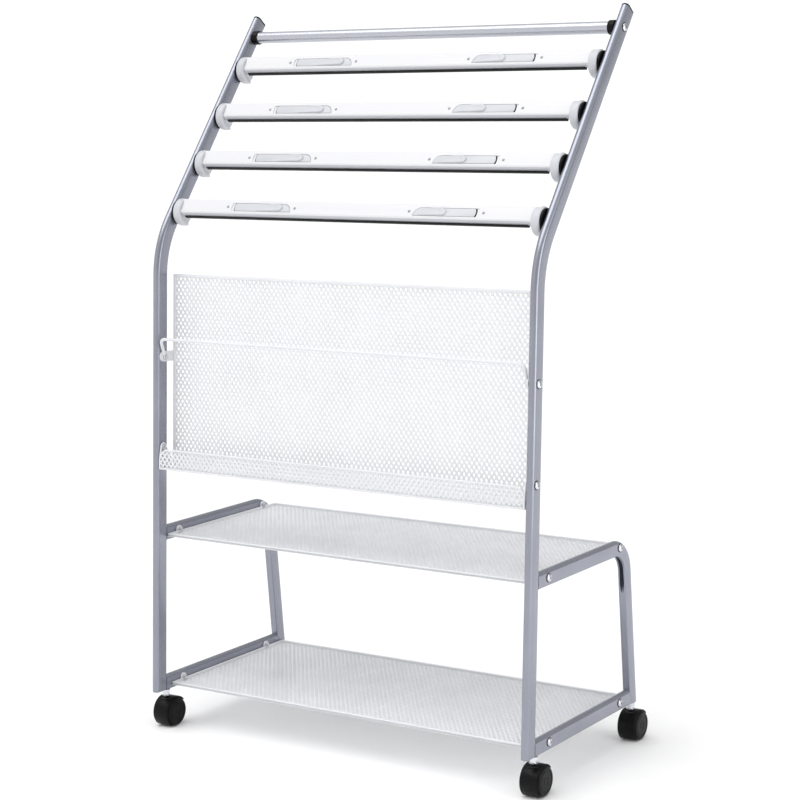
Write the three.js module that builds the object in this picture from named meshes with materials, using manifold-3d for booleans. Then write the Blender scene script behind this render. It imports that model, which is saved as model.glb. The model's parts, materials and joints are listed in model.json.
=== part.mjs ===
// Periodical display rack on casters: two D-tube side frames, four lift-out newspaper clips,
// a mesh magazine pocket and two mesh shelves. Millimetres, +Z up, +X to the right, front at -Y.

import * as THREE from 'three';
import { mergeVertices } from 'three/addons/utils/BufferGeometryUtils.js';
import Module from 'manifold-3d';

const wasm = await Module();
wasm.setup();

const rad = THREE.MathUtils.degToRad;

// Driving dimensions: side frames
const RACK_WIDTH = 640;            // over the outer faces of the two side frames
const TUBE_ACROSS = 12;            // D tube, from inner to outer face
const TUBE_DEPTH = 22;             // D tube, from flat side to the crown of the round side
const TUBE_WALL = 1.2;
const TUBE_CORNER = 1.5;           // chamfer of the two corners of the flat side
const LEAST_CORNER = 0.3;
const LOWER_LEAN = rad(2.8);       // lower part of the uprights, back from vertical
const UPPER_LEAN = rad(38);        // upper part of the uprights, back from vertical
const ELBOW_HEIGHT = 719;          // where the two straight axes of an upright meet
const ELBOW_RADIUS = 140;
const UPPER_LENGTH = 412;          // from the elbow to the open end
const FOOT_ROUND = 2;              // rounding of the closed foot of an upright
const FOOT_PLUG = 3;               // thickness of a closed foot
const MID_RAIL_HEIGHT = 294.5;     // centre of the upper side rail
const FRAME_DEPTH = 305;           // from upright to rear leg, axis to axis at the feet
const LEG_SPLAY = rad(5.5);        // rear leg, back from vertical on the way down
const REAR_BEND_RADIUS = 40;
const CREASE_DEPTH = 5;            // dent that the bend presses into the flat side
const CREASE_LENGTH = 88;          // along the tube, from the start of the bend
const SEAM_GAP = 0.3;              // between pieces that touch

// Driving dimensions: upper ends and crossbar
const CAP_THICK = 1.4;
const CAP_DOME = 0.7;
const CAP_PLUG = 12;
const CROSSBAR_DROP = 31;          // crossbar axis below the open end, along the tube
const CROSSBAR_DIAMETER = 17;
const CROSSBAR_WALL = 1.2;
const COLLAR_WALL = 1.5;
const COLLAR_LENGTH = 10;
const COLLAR_EDGE = 1;
const COLLAR_SOCKET = 6;           // how far the crossbar enters the collar

// Driving dimensions: newspaper clips
const CLIP_COUNT = 4;
const CLIP_PITCH = 86.6;           // along the leaning uprights
const TOP_CLIP_DROP = 79;          // upper edge of the first clip below the open end, along the tube
const CLIP_STANDOFF = 14;          // upper edge of a clip in front of the tube axis
const CLIP_TILT = rad(32);         // face of a clip, back from vertical
const CLIP_FACE = 19;              // flat part of the face
const CLIP_NOSE_RADIUS = 4.7;      // rounded lower front edge
const CLIP_NOSE_TURN = rad(80);
const CLIP_LIP = 4;                // flat lip behind the nose
const CLIP_WALL = 2.2;
const CLIP_TOP_DEPTH = 8.1;        // top flange, from the face back
const CLIP_TOP_ROUND = 1;
const CLIP_ENTRY = 5.5;            // how far a clip end enters its cradle

// Driving dimensions: jaw behind the clip rail
const JAW_THICK = 1.8;
const JAW_KNUCKLE = 1.9;           // radius of the hinge bead
const JAW_DROP = 2;                // hinge axis below the upper edge of the clip
const JAW_END_GAP = 5.5;           // jaw end to cradle
const JAW_FOOT_DEPTH = 4;          // forward reach of the gripping foot
const JAW_FOOT_THICK = 2.4;
const JAW_GRIP_GAP = 0.7;          // between lip and gripping foot

// Driving dimensions: sliding catches
const CATCH_PLACE = 154;           // middle of a catch slot from the middle of the rack
const SLOT_LENGTH = 104;
const SLOT_HEIGHT = 13;
const SLOT_DEPTH = 1.2;
const SLOT_TOP = 5.2;              // upper side of the slot below the upper edge of the clip
const CATCH_SHIFT = 4.5;           // both slots towards +X
const CATCH_TRAVEL = 5;            // outwards, from the inner end of the slot
const CATCH_PLATE = 1.1;
const CATCH_SIDE_GAP = 0.4;
const THUMB_START = { left: -158, right: 113.4 };
const THUMB_LENGTH = 46;
const THUMB_RISE = 2.6;
const THUMB_DISH = 4.6;            // radius of the round thumb dish
const THUMB_DISH_DEPTH = 0.9;
const THUMB_DISH_PLACE = 35.5;     // middle of the dish from the start of the pad
const THUMB_TAIL = 24;             // long slope at the start of the pad
const THUMB_RAMP = 2.5;            // short slope at its end
const SHANK_LENGTH = 10;
const SHANK_HEIGHT = 5;
const SHANK_FOOT_LENGTH = 16;
const SHANK_FOOT_HEIGHT = 9;
const SHANK_FOOT_THICK = 1.2;

// Driving dimensions: cradles
const CRADLE_RADIUS = 20;
const CRADLE_THICK = 13;
const CRADLE_FLANGE = 4.5;         // full disc behind the mouth
const CRADLE_EDGE = 1.2;
const CRADLE_BACK = 15;            // cradle centre behind the clip face
const CRADLE_BELOW = 14;           // cradle centre below the upper edge of the clip
const CRADLE_BOSS_RADIUS = 7;
const CRADLE_GAP = 3.5;            // disc to upright
const CRADLE_PLAY = 0.4;           // mouth round the clip

// Driving dimensions: expanded mesh pieces
const SHEET = 1.5;                 // sheet thickness
const HEM = 5;                     // rolled hem, square section
const SIDE_GAP = 0.4;              // mesh piece to the inner face of the frame
const MESH_PITCH = 120;            // diamond pitch along X
const MESH_ROW = 100;              // diamond pitch across
const STRAND = 28;                 // width of the strands, for the fine mesh's share of open area
const EAR_WIDTH = 13;
const EAR_THICK = 1.5;
const SHELF_DROP = 6;              // underside of a shelf below its bolts
const SHELF_FRONT = 24;            // front edge of a shelf behind the upright's foot
const MID_SHELF_REAR = 14;         // rear edges in front of the rear leg's foot
const BASE_SHELF_REAR = 2;
const FRONT_BOLT_BACK = 50;        // front ears behind the upright's foot
const REAR_BOLT_FORE = 46;         // rear ears in front of the rear leg's foot

// Driving dimensions: magazine pocket and wire, along and square to the lower uprights
const TROUGH_FLOOR = 392;
const TROUGH_HEIGHT = 31;
const TROUGH_FRONT = 9.5;          // outer front face in front of the tube axis
const TROUGH_DEPTH = 28;
const TROUGH_CORNER = 16;          // rounded upper corners of the front wall
const TROUGH_PITCH = 66;
const TROUGH_STRAND = 5;
const POCKET_BOLT_RISE = 33;       // lower pocket bolts above the trough's floor
const PANEL_TOP = 678;
const PANEL_SETBACK = 2.3;         // back panel behind the trough
const PANEL_EAR_HEIGHT = 15;
const WIRE_DIAMETER = 4.5;
const WIRE_BOLT = 558;
const WIRE_HEIGHT = 584;
const WIRE_FORWARD = 11;
const WIRE_BEND = 7;
const WIRE_TAB_RADIUS = 6;
const WIRE_TAB_THICK = 1.6;

// Driving dimensions: casters
const WHEEL_RADIUS = 21.6;
const WHEEL_WIDTH = 10.2;
const WHEEL_ROUND = 2;
const HOOD_WIDTH = 10;
const HOOD_INSET = 0.6;            // hood inside the wheel treads
const HOOD_CLEAR = 6;              // open underside of the hood above the floor
const CASTER_TRAIL = 7.5;
const CASTER_GAP = 0.5;            // wheel to hood
const AXLE_DIAMETER = 6;
const AXLE_PLAY = 0.3;             // radial
const HUB_WALL = 2.5;              // closed outer side of a wheel
const NECK_DEPTH = 13;             // hood round the stem, from front to back
const STEM_DIAMETER = 7;
const STEM_PLAY = 0.3;             // radial
const STEM_DEPTH = 12;             // pin inside the hood
const STEM_SHOWN = 14.4;           // from the hood up to the tube
const SEAT_RADIUS = 6.3;           // bright cone over the hood
const SEAT_HEIGHT = 5;
const NUT_RADIUS = 6.8;            // across corners
const NUT_HEIGHT = 5.5;
const STEM_NECK_RADIUS = 4.5;
const FRONT_STEM_BACK = 17;        // front stem behind the foot of the upright

// Worked out from the driving dimensions
const OUTER_X = RACK_WIDTH / 2;
const INNER_X = OUTER_X - TUBE_ACROSS;
const TUBE_X = OUTER_X - TUBE_ACROSS / 2;
const HALF_DEPTH = TUBE_DEPTH / 2;
const CROWN_RADIUS = TUBE_ACROSS / 2;
const HOOD_TOP = 2 * WHEEL_RADIUS - HOOD_INSET;
const FOOT_HEIGHT = HOOD_TOP + STEM_SHOWN;
const BASE_RAIL_HEIGHT = FOOT_HEIGHT + HALF_DEPTH;
const CRADLE_FACE_X = INNER_X - CRADLE_GAP - CRADLE_THICK;
const CLIP_HALF = CRADLE_FACE_X + CLIP_ENTRY;
const JAW_HALF = CRADLE_FACE_X - JAW_END_GAP;
const POCKET_BOLT = TROUGH_FLOOR + POCKET_BOLT_RISE;
const SIDES = { left: -1, right: 1 };

const uprightY = (z) => z * Math.tan(LOWER_LEAN);
const legY = (z) => uprightY(FOOT_HEIGHT) + FRAME_DEPTH - (z - FOOT_HEIGHT) * Math.tan(LEG_SPLAY);

// Finishes
const finish = (color, roughness, metalness) => new THREE.MeshStandardMaterial({ color, roughness, metalness });
const silverPaint = () => finish(0xa3a6ae, 0.38, 0.55);
const crossbarSilver = () => finish(0xb4b6bd, 0.3, 0.7);
const whiteProfile = () => finish(0xf4f4f6, 0.35, 0);
const paleGrey = () => finish(0xdcdee2, 0.45, 0);
const blackPlastic = () => finish(0x17181b, 0.4, 0);
const whiteMesh = () => finish(0xf2f3f5, 0.45, 0.1);
const brightSteel = () => finish(0xc9ccd0, 0.22, 0.95);

// Solids

function toSolid(geometry) {
  const bare = geometry.clone();
  bare.deleteAttribute('normal');
  bare.deleteAttribute('uv');
  const merged = mergeVertices(bare, 1e-4);
  return new wasm.Manifold(new wasm.Mesh({
    numProp: 3,
    vertProperties: new Float32Array(merged.attributes.position.array),
    triVerts: new Uint32Array(merged.index.array),
  }));
}

function toGeometry(solid) {
  const mesh = solid.getMesh();
  const geometry = new THREE.BufferGeometry();
  geometry.setAttribute('position', new THREE.BufferAttribute(new Float32Array(mesh.vertProperties), 3));
  geometry.setIndex(new THREE.BufferAttribute(new Uint32Array(mesh.triVerts), 1));
  return geometry;
}

const join = (first, ...rest) => toGeometry(rest.reduce((solid, g) => solid.add(toSolid(g)), toSolid(first)));
const cut = (first, ...rest) => toGeometry(rest.reduce((solid, g) => solid.subtract(toSolid(g)), toSolid(first)));

function block(x0, x1, y0, y1, z0, z1) {
  const geometry = new THREE.BoxGeometry(x1 - x0, y1 - y0, z1 - z0);
  return geometry.translate((x0 + x1) / 2, (y0 + y1) / 2, (z0 + z1) / 2);
}

// Turned solid about the X axis: the profile lists (radius, x) from one end to the other
function turned(profile, segments) {
  const points = profile.map(([radius, x]) => new THREE.Vector2(radius, x));
  return new THREE.LatheGeometry(points, segments).rotateZ(-Math.PI / 2);
}

// Outline in the YZ plane extruded along X, from x0 to x1
function alongX(shape, x0, x1) {
  const geometry = new THREE.ExtrudeGeometry(shape, { depth: x1 - x0, bevelEnabled: false, curveSegments: 8 });
  const place = new THREE.Matrix4().makeBasis(
    new THREE.Vector3(0, 1, 0), new THREE.Vector3(0, 0, 1), new THREE.Vector3(1, 0, 0));
  return geometry.applyMatrix4(place).translate(x0, 0, 0);
}

function named(name, geometry, material) {
  const mesh = new THREE.Mesh(geometry, material);
  mesh.name = name;
  return mesh;
}

// D tube

// D outline, counted from one flat corner round the crown to the other, shrunk by inset;
// dent pushes the middle of the flat side inwards
function dOutline(inset, dent = 0, flatPoints = 0) {
  const half = CROWN_RADIUS - inset;
  const flat = -HALF_DEPTH + inset;
  const crown = HALF_DEPTH - CROWN_RADIUS;
  const corner = Math.max(TUBE_CORNER - inset, LEAST_CORNER);
  const crownSteps = 8;
  const outline = [];
  outline.push([half - corner, flat], [half, flat + corner]);
  for (let i = 0; i <= crownSteps; i += 1) {
    const angle = (Math.PI * i) / crownSteps;
    outline.push([half * Math.cos(angle), crown + half * Math.sin(angle)]);
  }
  outline.push([-half, flat + corner], [-half + corner, flat]);
  for (let i = 1; i <= flatPoints; i += 1) {
    const share = i / (flatPoints + 1);
    const across = (half - corner) * (2 * share - 1);
    outline.push([across, flat + dent * Math.sin(Math.PI * share)]);
  }
  return outline;
}

// One cross-section: a centre, the tangent there and the plane that the section lies in
function station(centre, tangent, plane = tangent, extra = {}) {
  return { centre, tangent, plane, ...extra };
}

// Points of an outline on a station: across is along X, depth towards the round side
function ring(place, outline) {
  const across = new THREE.Vector3(1, 0, 0);
  const depth = new THREE.Vector3().crossVectors(across, place.tangent).normalize();
  const slip = depth.dot(place.plane) / place.tangent.dot(place.plane);
  depth.addScaledVector(place.tangent, -slip);
  return outline.map(([p, q]) => place.centre.clone().addScaledVector(across, p).addScaledVector(depth, q));
}

// Closed skin over the outer and inner rings of a tube; an outline given for an end closes it there
function skin(outer, inner, closed = {}) {
  const rings = [...outer, ...inner];
  const count = outer[0].length;
  const positions = rings.flat().flatMap((p) => [p.x, p.y, p.z]);
  const index = [];
  const band = (from, to) => {
    for (let i = 0; i < count; i += 1) {
      const j = (i + 1) % count;
      const [a, b, c, d] = [from * count + i, from * count + j, to * count + j, to * count + i];
      index.push(a, b, c, a, c, d);
    }
  };
  const lid = (ringNumber, outline, flip) => {
    const flatOutline = outline.map(([p, q]) => new THREE.Vector2(p, q));
    for (const [a, b, c] of THREE.ShapeUtils.triangulateShape(flatOutline, [])) {
      const corners = flip ? [a, c, b] : [a, b, c];
      index.push(...corners.map((k) => ringNumber * count + k));
    }
  };
  const outerEnd = outer.length - 1;
  const innerStart = outer.length;
  const innerEnd = rings.length - 1;
  for (let i = 0; i < outerEnd; i += 1) band(i, i + 1);
  for (let i = innerStart; i < innerEnd; i += 1) band(i + 1, i);
  if (closed.start) {
    lid(0, closed.start, true);
    lid(innerStart, closed.start, false);
  } else {
    band(innerStart, 0);
  }
  if (closed.end) {
    lid(outerEnd, closed.end, false);
    lid(innerEnd, closed.end, true);
  } else {
    band(outerEnd, innerEnd);
  }
  const geometry = new THREE.BufferGeometry();
  geometry.setAttribute('position', new THREE.Float32BufferAttribute(positions, 3));
  geometry.setIndex(index);
  return geometry;
}

// A skin built with the other hand has its triangles turned round
function faceOut(geometry) {
  const index = geometry.index.array;
  const position = geometry.attributes.position;
  const [a, b, c] = [new THREE.Vector3(), new THREE.Vector3(), new THREE.Vector3()];
  let volume = 0;
  for (let i = 0; i < index.length; i += 3) {
    a.fromBufferAttribute(position, index[i]);
    b.fromBufferAttribute(position, index[i + 1]);
    c.fromBufferAttribute(position, index[i + 2]);
    volume += a.dot(b.cross(c));
  }
  if (volume < 0) {
    for (let i = 0; i < index.length; i += 3) [index[i], index[i + 1]] = [index[i + 1], index[i]];
  }
  return geometry;
}

const alongYZ = (angle) => new THREE.Vector3(0, Math.sin(angle), Math.cos(angle));
const inYZ = (y, z) => new THREE.Vector3(0, y, z);

// Stations round a bend in the YZ plane, between two straight directions that meet at a corner
function bend(corner, before, after, radius, steps) {
  const turn = before.angleTo(after);
  const run = radius * Math.tan(turn / 2);
  const start = corner.clone().addScaledVector(before, -run);
  const inward = after.clone().addScaledVector(before, -after.dot(before)).normalize();
  const centre = start.clone().addScaledVector(inward, radius);
  const stations = [];
  for (let i = 0; i <= steps; i += 1) {
    const angle = (turn * i) / steps;
    const point = centre.clone()
      .addScaledVector(inward, -radius * Math.cos(angle))
      .addScaledVector(before, radius * Math.sin(angle));
    const tangent = before.clone().multiplyScalar(Math.cos(angle)).addScaledVector(inward, Math.sin(angle));
    stations.push(station(point, tangent));
  }
  return stations;
}

const ELBOW = inYZ(uprightY(ELBOW_HEIGHT), ELBOW_HEIGHT);
const LOWER_AXIS = alongYZ(LOWER_LEAN);
const UPPER_AXIS = alongYZ(UPPER_LEAN);
const UPPER_END = ELBOW.clone().addScaledVector(UPPER_AXIS, UPPER_LENGTH);
const UP = new THREE.Vector3(0, 0, 1);

function uprightTube() {
  const foot = inYZ(uprightY(FOOT_HEIGHT), FOOT_HEIGHT);
  const curve = bend(ELBOW, LOWER_AXIS, UPPER_AXIS, ELBOW_RADIUS, 8);
  const top = station(UPPER_END, UPPER_AXIS);
  const raised = (rise) => station(foot.clone().addScaledVector(LOWER_AXIS, rise), LOWER_AXIS, UP);
  const outline = dOutline(0);
  const bore = dOutline(TUBE_WALL);
  const outer = [ring(raised(0), dOutline(FOOT_ROUND))];
  for (const place of [raised(FOOT_ROUND), ...curve, top]) outer.push(ring(place, outline));
  const inner = [raised(FOOT_PLUG), ...curve, top].map((place) => ring(place, bore));
  return faceOut(skin(outer, inner, { start: outline }));
}

// Rear leg: rail back from the upright, tight bend, leg down to the floor corner
function rearLegTube() {
  const flatPoints = 5;
  const back = new THREE.Vector3(0, 1, 0);
  const down = new THREE.Vector3(0, Math.sin(LEG_SPLAY), -Math.cos(LEG_SPLAY));
  const face = new THREE.Vector3(0, Math.cos(LOWER_LEAN), -Math.sin(LOWER_LEAN));
  const seamY = uprightY(MID_RAIL_HEIGHT) + (HALF_DEPTH + SEAM_GAP) / Math.cos(LOWER_LEAN);
  const corner = inYZ(legY(MID_RAIL_HEIGHT), MID_RAIL_HEIGHT);
  const curve = bend(corner, back, down, REAR_BEND_RADIUS, 6);
  const bendEnd = curve[curve.length - 1].centre;
  const bendArc = REAR_BEND_RADIUS * back.angleTo(down);
  const dentAt = (run) => {
    const share = THREE.MathUtils.clamp(run / CREASE_LENGTH, 0, 1);
    return CREASE_DEPTH * Math.sin(Math.PI * share ** 0.8) ** 1.4;
  };
  curve.forEach((place, i) => { place.dent = dentAt((bendArc * i) / (curve.length - 1)); });
  const tail = [0.35, 0.7, 1].map((share) => {
    const run = share * (CREASE_LENGTH - bendArc);
    const dent = share < 1 ? dentAt(bendArc + run) : 0;
    return station(bendEnd.clone().addScaledVector(down, run), down, down, { dent });
  });
  const foot = inYZ(legY(FOOT_HEIGHT), FOOT_HEIGHT);
  const plug = foot.clone().addScaledVector(down, -FOOT_PLUG);
  const stations = [station(inYZ(seamY, MID_RAIL_HEIGHT), back, face), ...curve, ...tail];
  const outline = (inset, dent) => dOutline(inset, dent, flatPoints);
  const outer = [...stations, station(foot, down, UP)]
    .map((place) => ring(place, outline(0, place.dent)));
  const inner = [...stations, station(plug, down, UP)]
    .map((place) => ring(place, outline(TUBE_WALL, place.dent)));
  return faceOut(skin(outer, inner, { end: outline(0) }));
}

function baseRailTube() {
  const back = new THREE.Vector3(0, 1, 0);
  const frontFace = new THREE.Vector3(0, Math.cos(LOWER_LEAN), -Math.sin(LOWER_LEAN));
  const rearFace = new THREE.Vector3(0, Math.cos(LEG_SPLAY), Math.sin(LEG_SPLAY));
  const frontY = uprightY(BASE_RAIL_HEIGHT) + (HALF_DEPTH + SEAM_GAP) / Math.cos(LOWER_LEAN);
  const rearY = legY(BASE_RAIL_HEIGHT) - (HALF_DEPTH + SEAM_GAP) / Math.cos(LEG_SPLAY);
  const ends = [
    station(inYZ(frontY, BASE_RAIL_HEIGHT), back, frontFace),
    station(inYZ(rearY, BASE_RAIL_HEIGHT), back, rearFace),
  ];
  const outer = ends.map((place) => ring(place, dOutline(0)));
  const inner = ends.map((place) => ring(place, dOutline(TUBE_WALL)));
  return faceOut(skin(outer, inner));
}

// Domed lid on the open end of an upright, with a plug inside the tube
function endCap() {
  const shapeOf = (inset) => new THREE.Shape(dOutline(inset).map(([p, q]) => new THREE.Vector2(p, -q)).reverse());
  const lid = new THREE.ExtrudeGeometry(shapeOf(CAP_DOME), {
    depth: CAP_THICK, bevelSize: CAP_DOME, bevelThickness: CAP_DOME, bevelSegments: 1,
  });
  lid.translate(0, 0, CAP_DOME + SEAM_GAP);
  const plug = new THREE.ExtrudeGeometry(shapeOf(TUBE_WALL + SEAM_GAP), {
    depth: CAP_PLUG + CAP_DOME, bevelEnabled: false,
  });
  plug.translate(0, 0, -CAP_PLUG + CAP_DOME);
  return join(lid, plug);
}

function crossbarTube() {
  const half = INNER_X - COLLAR_LENGTH + COLLAR_SOCKET;
  const outer = CROSSBAR_DIAMETER / 2;
  const inner = outer - CROSSBAR_WALL;
  return turned([[inner, -half], [outer, -half], [outer, half], [inner, half], [inner, -half]], 16);
}

// Collar between crossbar and upright, open towards the crossbar at -X
function crossbarCollar() {
  const socket = CROSSBAR_DIAMETER / 2 + SEAM_GAP;
  const radius = socket + COLLAR_WALL;
  const back = COLLAR_LENGTH - COLLAR_SOCKET - SEAM_GAP;
  return turned([
    [0, -back], [socket, -back], [socket, -COLLAR_LENGTH], [radius - COLLAR_EDGE, -COLLAR_LENGTH],
    [radius, -COLLAR_LENGTH + COLLAR_EDGE], [radius, -SEAM_GAP], [0, -SEAM_GAP],
  ], 16);
}

// Newspaper clip, in the frame of its face: y back from the face, z up along it, upper edge at z = 0

const NOSE_CENTRE = { y: CLIP_NOSE_RADIUS, z: -CLIP_FACE };
const NOSE_END = Math.PI + CLIP_NOSE_TURN;
const LIP_DIRECTION = { y: Math.sin(CLIP_NOSE_TURN), z: -Math.cos(CLIP_NOSE_TURN) };

// Point where the nose ends, or further along the lip, at a given distance inside the outer surface
function lipPoint(inset, run) {
  const radius = CLIP_NOSE_RADIUS - inset;
  return {
    y: NOSE_CENTRE.y + radius * Math.cos(NOSE_END) + run * LIP_DIRECTION.y,
    z: NOSE_CENTRE.z + radius * Math.sin(NOSE_END) + run * LIP_DIRECTION.z,
  };
}

function clipProfile() {
  const wall = CLIP_WALL;
  const lipOuter = lipPoint(0, CLIP_LIP);
  const lipInner = lipPoint(wall, CLIP_LIP);
  const shape = new THREE.Shape();
  shape.moveTo(CLIP_TOP_DEPTH, 0);
  shape.lineTo(CLIP_TOP_ROUND, 0);
  shape.lineTo(0, -CLIP_TOP_ROUND);
  shape.lineTo(0, NOSE_CENTRE.z);
  shape.absarc(NOSE_CENTRE.y, NOSE_CENTRE.z, CLIP_NOSE_RADIUS, Math.PI, NOSE_END, false);
  shape.lineTo(lipOuter.y, lipOuter.z);
  shape.lineTo(lipInner.y, lipInner.z);
  shape.absarc(NOSE_CENTRE.y, NOSE_CENTRE.z, CLIP_NOSE_RADIUS - wall, NOSE_END, Math.PI, true);
  shape.lineTo(wall, -wall);
  shape.lineTo(CLIP_TOP_DEPTH, -wall);
  return shape;
}

const SLOT_MIDDLE = -SLOT_TOP - SLOT_HEIGHT / 2;
const CATCH_HEIGHT = SLOT_HEIGHT - 2 * CATCH_SIDE_GAP;
const SLOT_OUTER = CATCH_PLACE + SLOT_LENGTH / 2;
const SLOT_INNER = CATCH_PLACE - SLOT_LENGTH / 2;
// Start and end along X of a stretch on one side, given from the middle of the slots
const stretch = (side, inner, outer) => [side * inner, side * outer]
  .sort((a, b) => a - b)
  .map((x) => x + CATCH_SHIFT);
const thumbMiddle = (sideName) => THUMB_START[sideName] + THUMB_LENGTH / 2;

function clipRail() {
  const cuts = [];
  for (const [sideName, side] of Object.entries(SIDES)) {
    cuts.push(block(...stretch(side, SLOT_INNER, SLOT_OUTER), -SLOT_DEPTH, SLOT_DEPTH,
      SLOT_MIDDLE - SLOT_HEIGHT / 2, SLOT_MIDDLE + SLOT_HEIGHT / 2));
    const reach = SHANK_LENGTH / 2 + CATCH_SIDE_GAP;
    const track = [thumbMiddle(sideName) - reach, thumbMiddle(sideName) + reach];
    track[side < 0 ? 0 : 1] += side * CATCH_TRAVEL;
    const trackHalf = SHANK_HEIGHT / 2 + CATCH_SIDE_GAP;
    cuts.push(block(...track, 0, 2 * CLIP_WALL, SLOT_MIDDLE - trackHalf, SLOT_MIDDLE + trackHalf));
  }
  return cut(alongX(clipProfile(), -CLIP_HALF, CLIP_HALF), ...cuts);
}

const JAW_AXIS = { y: CLIP_TOP_DEPTH + SEAM_GAP + JAW_KNUCKLE, z: -JAW_DROP };

// Jaw: hinge bead along the upper rear edge, plate behind the rail, gripping foot under the lip
function clipJaw() {
  const plateFront = JAW_AXIS.y - JAW_THICK / 2;
  const plateBack = JAW_AXIS.y + JAW_THICK / 2;
  const footTop = lipPoint(0, CLIP_LIP).z - JAW_GRIP_GAP;
  const footBottom = footTop - JAW_FOOT_THICK;
  const footFront = plateFront - JAW_FOOT_DEPTH;
  const neck = Math.asin(JAW_THICK / 2 / JAW_KNUCKLE);
  const chamfer = JAW_FOOT_THICK / 3;
  const shape = new THREE.Shape();
  shape.absarc(JAW_AXIS.y, JAW_AXIS.z, JAW_KNUCKLE, -Math.PI / 2 + neck, 1.5 * Math.PI - neck, false);
  shape.lineTo(plateFront, footTop);
  shape.lineTo(footFront, footTop);
  shape.lineTo(footFront, footBottom + chamfer);
  shape.lineTo(footFront + chamfer, footBottom);
  shape.lineTo(plateBack, footBottom);
  return alongX(shape, -JAW_HALF, JAW_HALF);
}

// Sliding catch at the inner end of its slot: thin plate, thumb pad with a round dish, shank through the face
function clipCatch(sideName, side) {
  const [plateStart, plateEnd] = stretch(
    side, SLOT_INNER + CATCH_SIDE_GAP, SLOT_OUTER - CATCH_SIDE_GAP - CATCH_TRAVEL);
  const padStart = THUMB_START[sideName];
  const padEnd = padStart + THUMB_LENGTH;
  const back = SLOT_DEPTH - SEAM_GAP;
  const front = back - CATCH_PLATE;
  const padTop = front - THUMB_RISE;
  const profile = new THREE.Shape();
  profile.moveTo(plateStart, back);
  profile.lineTo(plateStart, front);
  profile.lineTo(padStart, front);
  profile.lineTo(padStart + THUMB_TAIL, padTop);
  profile.lineTo(padEnd - THUMB_RAMP, padTop);
  profile.lineTo(padEnd, front);
  profile.lineTo(plateEnd, front);
  profile.lineTo(plateEnd, back);
  const body = new THREE.ExtrudeGeometry(profile, { depth: CATCH_HEIGHT, bevelEnabled: false });
  body.translate(0, 0, SLOT_MIDDLE - CATCH_HEIGHT / 2);
  const shankReach = CLIP_WALL + SEAM_GAP + SHANK_FOOT_THICK;
  const box = (length, y0, y1, height) => block(
    thumbMiddle(sideName) - length / 2, thumbMiddle(sideName) + length / 2, y0, y1,
    SLOT_MIDDLE - height / 2, SLOT_MIDDLE + height / 2);
  const shank = box(SHANK_LENGTH, back - CATCH_PLATE / 2, shankReach, SHANK_HEIGHT);
  const foot = box(SHANK_FOOT_LENGTH, CLIP_WALL + SEAM_GAP, shankReach, SHANK_FOOT_HEIGHT);
  const dish = new THREE.CylinderGeometry(THUMB_DISH, THUMB_DISH, 2 * THUMB_DISH_DEPTH, 10);
  dish.translate(padStart + THUMB_DISH_PLACE, padTop, SLOT_MIDDLE);
  return cut(join(body, shank, foot), dish);
}

// Cradle on the inner face of the right upright, in the frame of the clip's face
function clipCradle() {
  const inner = CRADLE_FACE_X;
  const outer = INNER_X - CRADLE_GAP;
  const disc = turned([
    [0, inner], [CRADLE_RADIUS - CRADLE_EDGE, inner], [CRADLE_RADIUS, inner + CRADLE_EDGE],
    [CRADLE_RADIUS, outer], [CRADLE_BOSS_RADIUS, outer],
    [CRADLE_BOSS_RADIUS, INNER_X - SEAM_GAP], [0, INNER_X - SEAM_GAP],
  ], 14);
  disc.translate(0, CRADLE_BACK, -CRADLE_BELOW);
  const past = 3 * CRADLE_RADIUS;
  const ledge = lipPoint(-CRADLE_PLAY, past);
  const mouth = new THREE.Shape();
  mouth.moveTo(-CRADLE_PLAY, past);
  mouth.lineTo(-CRADLE_PLAY, NOSE_CENTRE.z);
  mouth.absarc(NOSE_CENTRE.y, NOSE_CENTRE.z, CLIP_NOSE_RADIUS + CRADLE_PLAY, Math.PI, NOSE_END, false);
  mouth.lineTo(ledge.y, ledge.z);
  mouth.lineTo(ledge.y, past);
  return cut(disc, alongX(mouth, inner - CRADLE_EDGE, outer - CRADLE_FLANGE));
}

// Expanded mesh

// Outlines of the diamonds that fill a rectangle centred on the origin, with half diamonds along its edges;
// the pitches are rounded so that the strands cross in the corners
function diamonds(width, height, pitch, row, strand) {
  const columns = 2 * Math.max(1, Math.round(width / pitch));
  const rows = 2 * Math.max(1, Math.round(height / row));
  const [stepX, stepY] = [width / columns, height / rows];
  const diagonal = Math.hypot(stepX, stepY);
  const reachX = stepX - (strand / 2) * (diagonal / stepY);
  const reachY = stepY - (strand / 2) * (diagonal / stepX);
  const outlines = [];
  for (let r = 0; r <= rows; r += 1) {
    for (let c = (r + 1) % 2; c <= columns; c += 2) {
      const [x, y] = [c * stepX - width / 2, r * stepY - height / 2];
      const corners = [];
      if (c > 0) corners.push(new THREE.Vector2(x - reachX, y));
      if (r < rows) corners.push(new THREE.Vector2(x, y + reachY));
      if (c < columns) corners.push(new THREE.Vector2(x + reachX, y));
      if (r > 0) corners.push(new THREE.Vector2(x, y - reachY));
      outlines.push(corners);
    }
  }
  return outlines;
}

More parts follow.
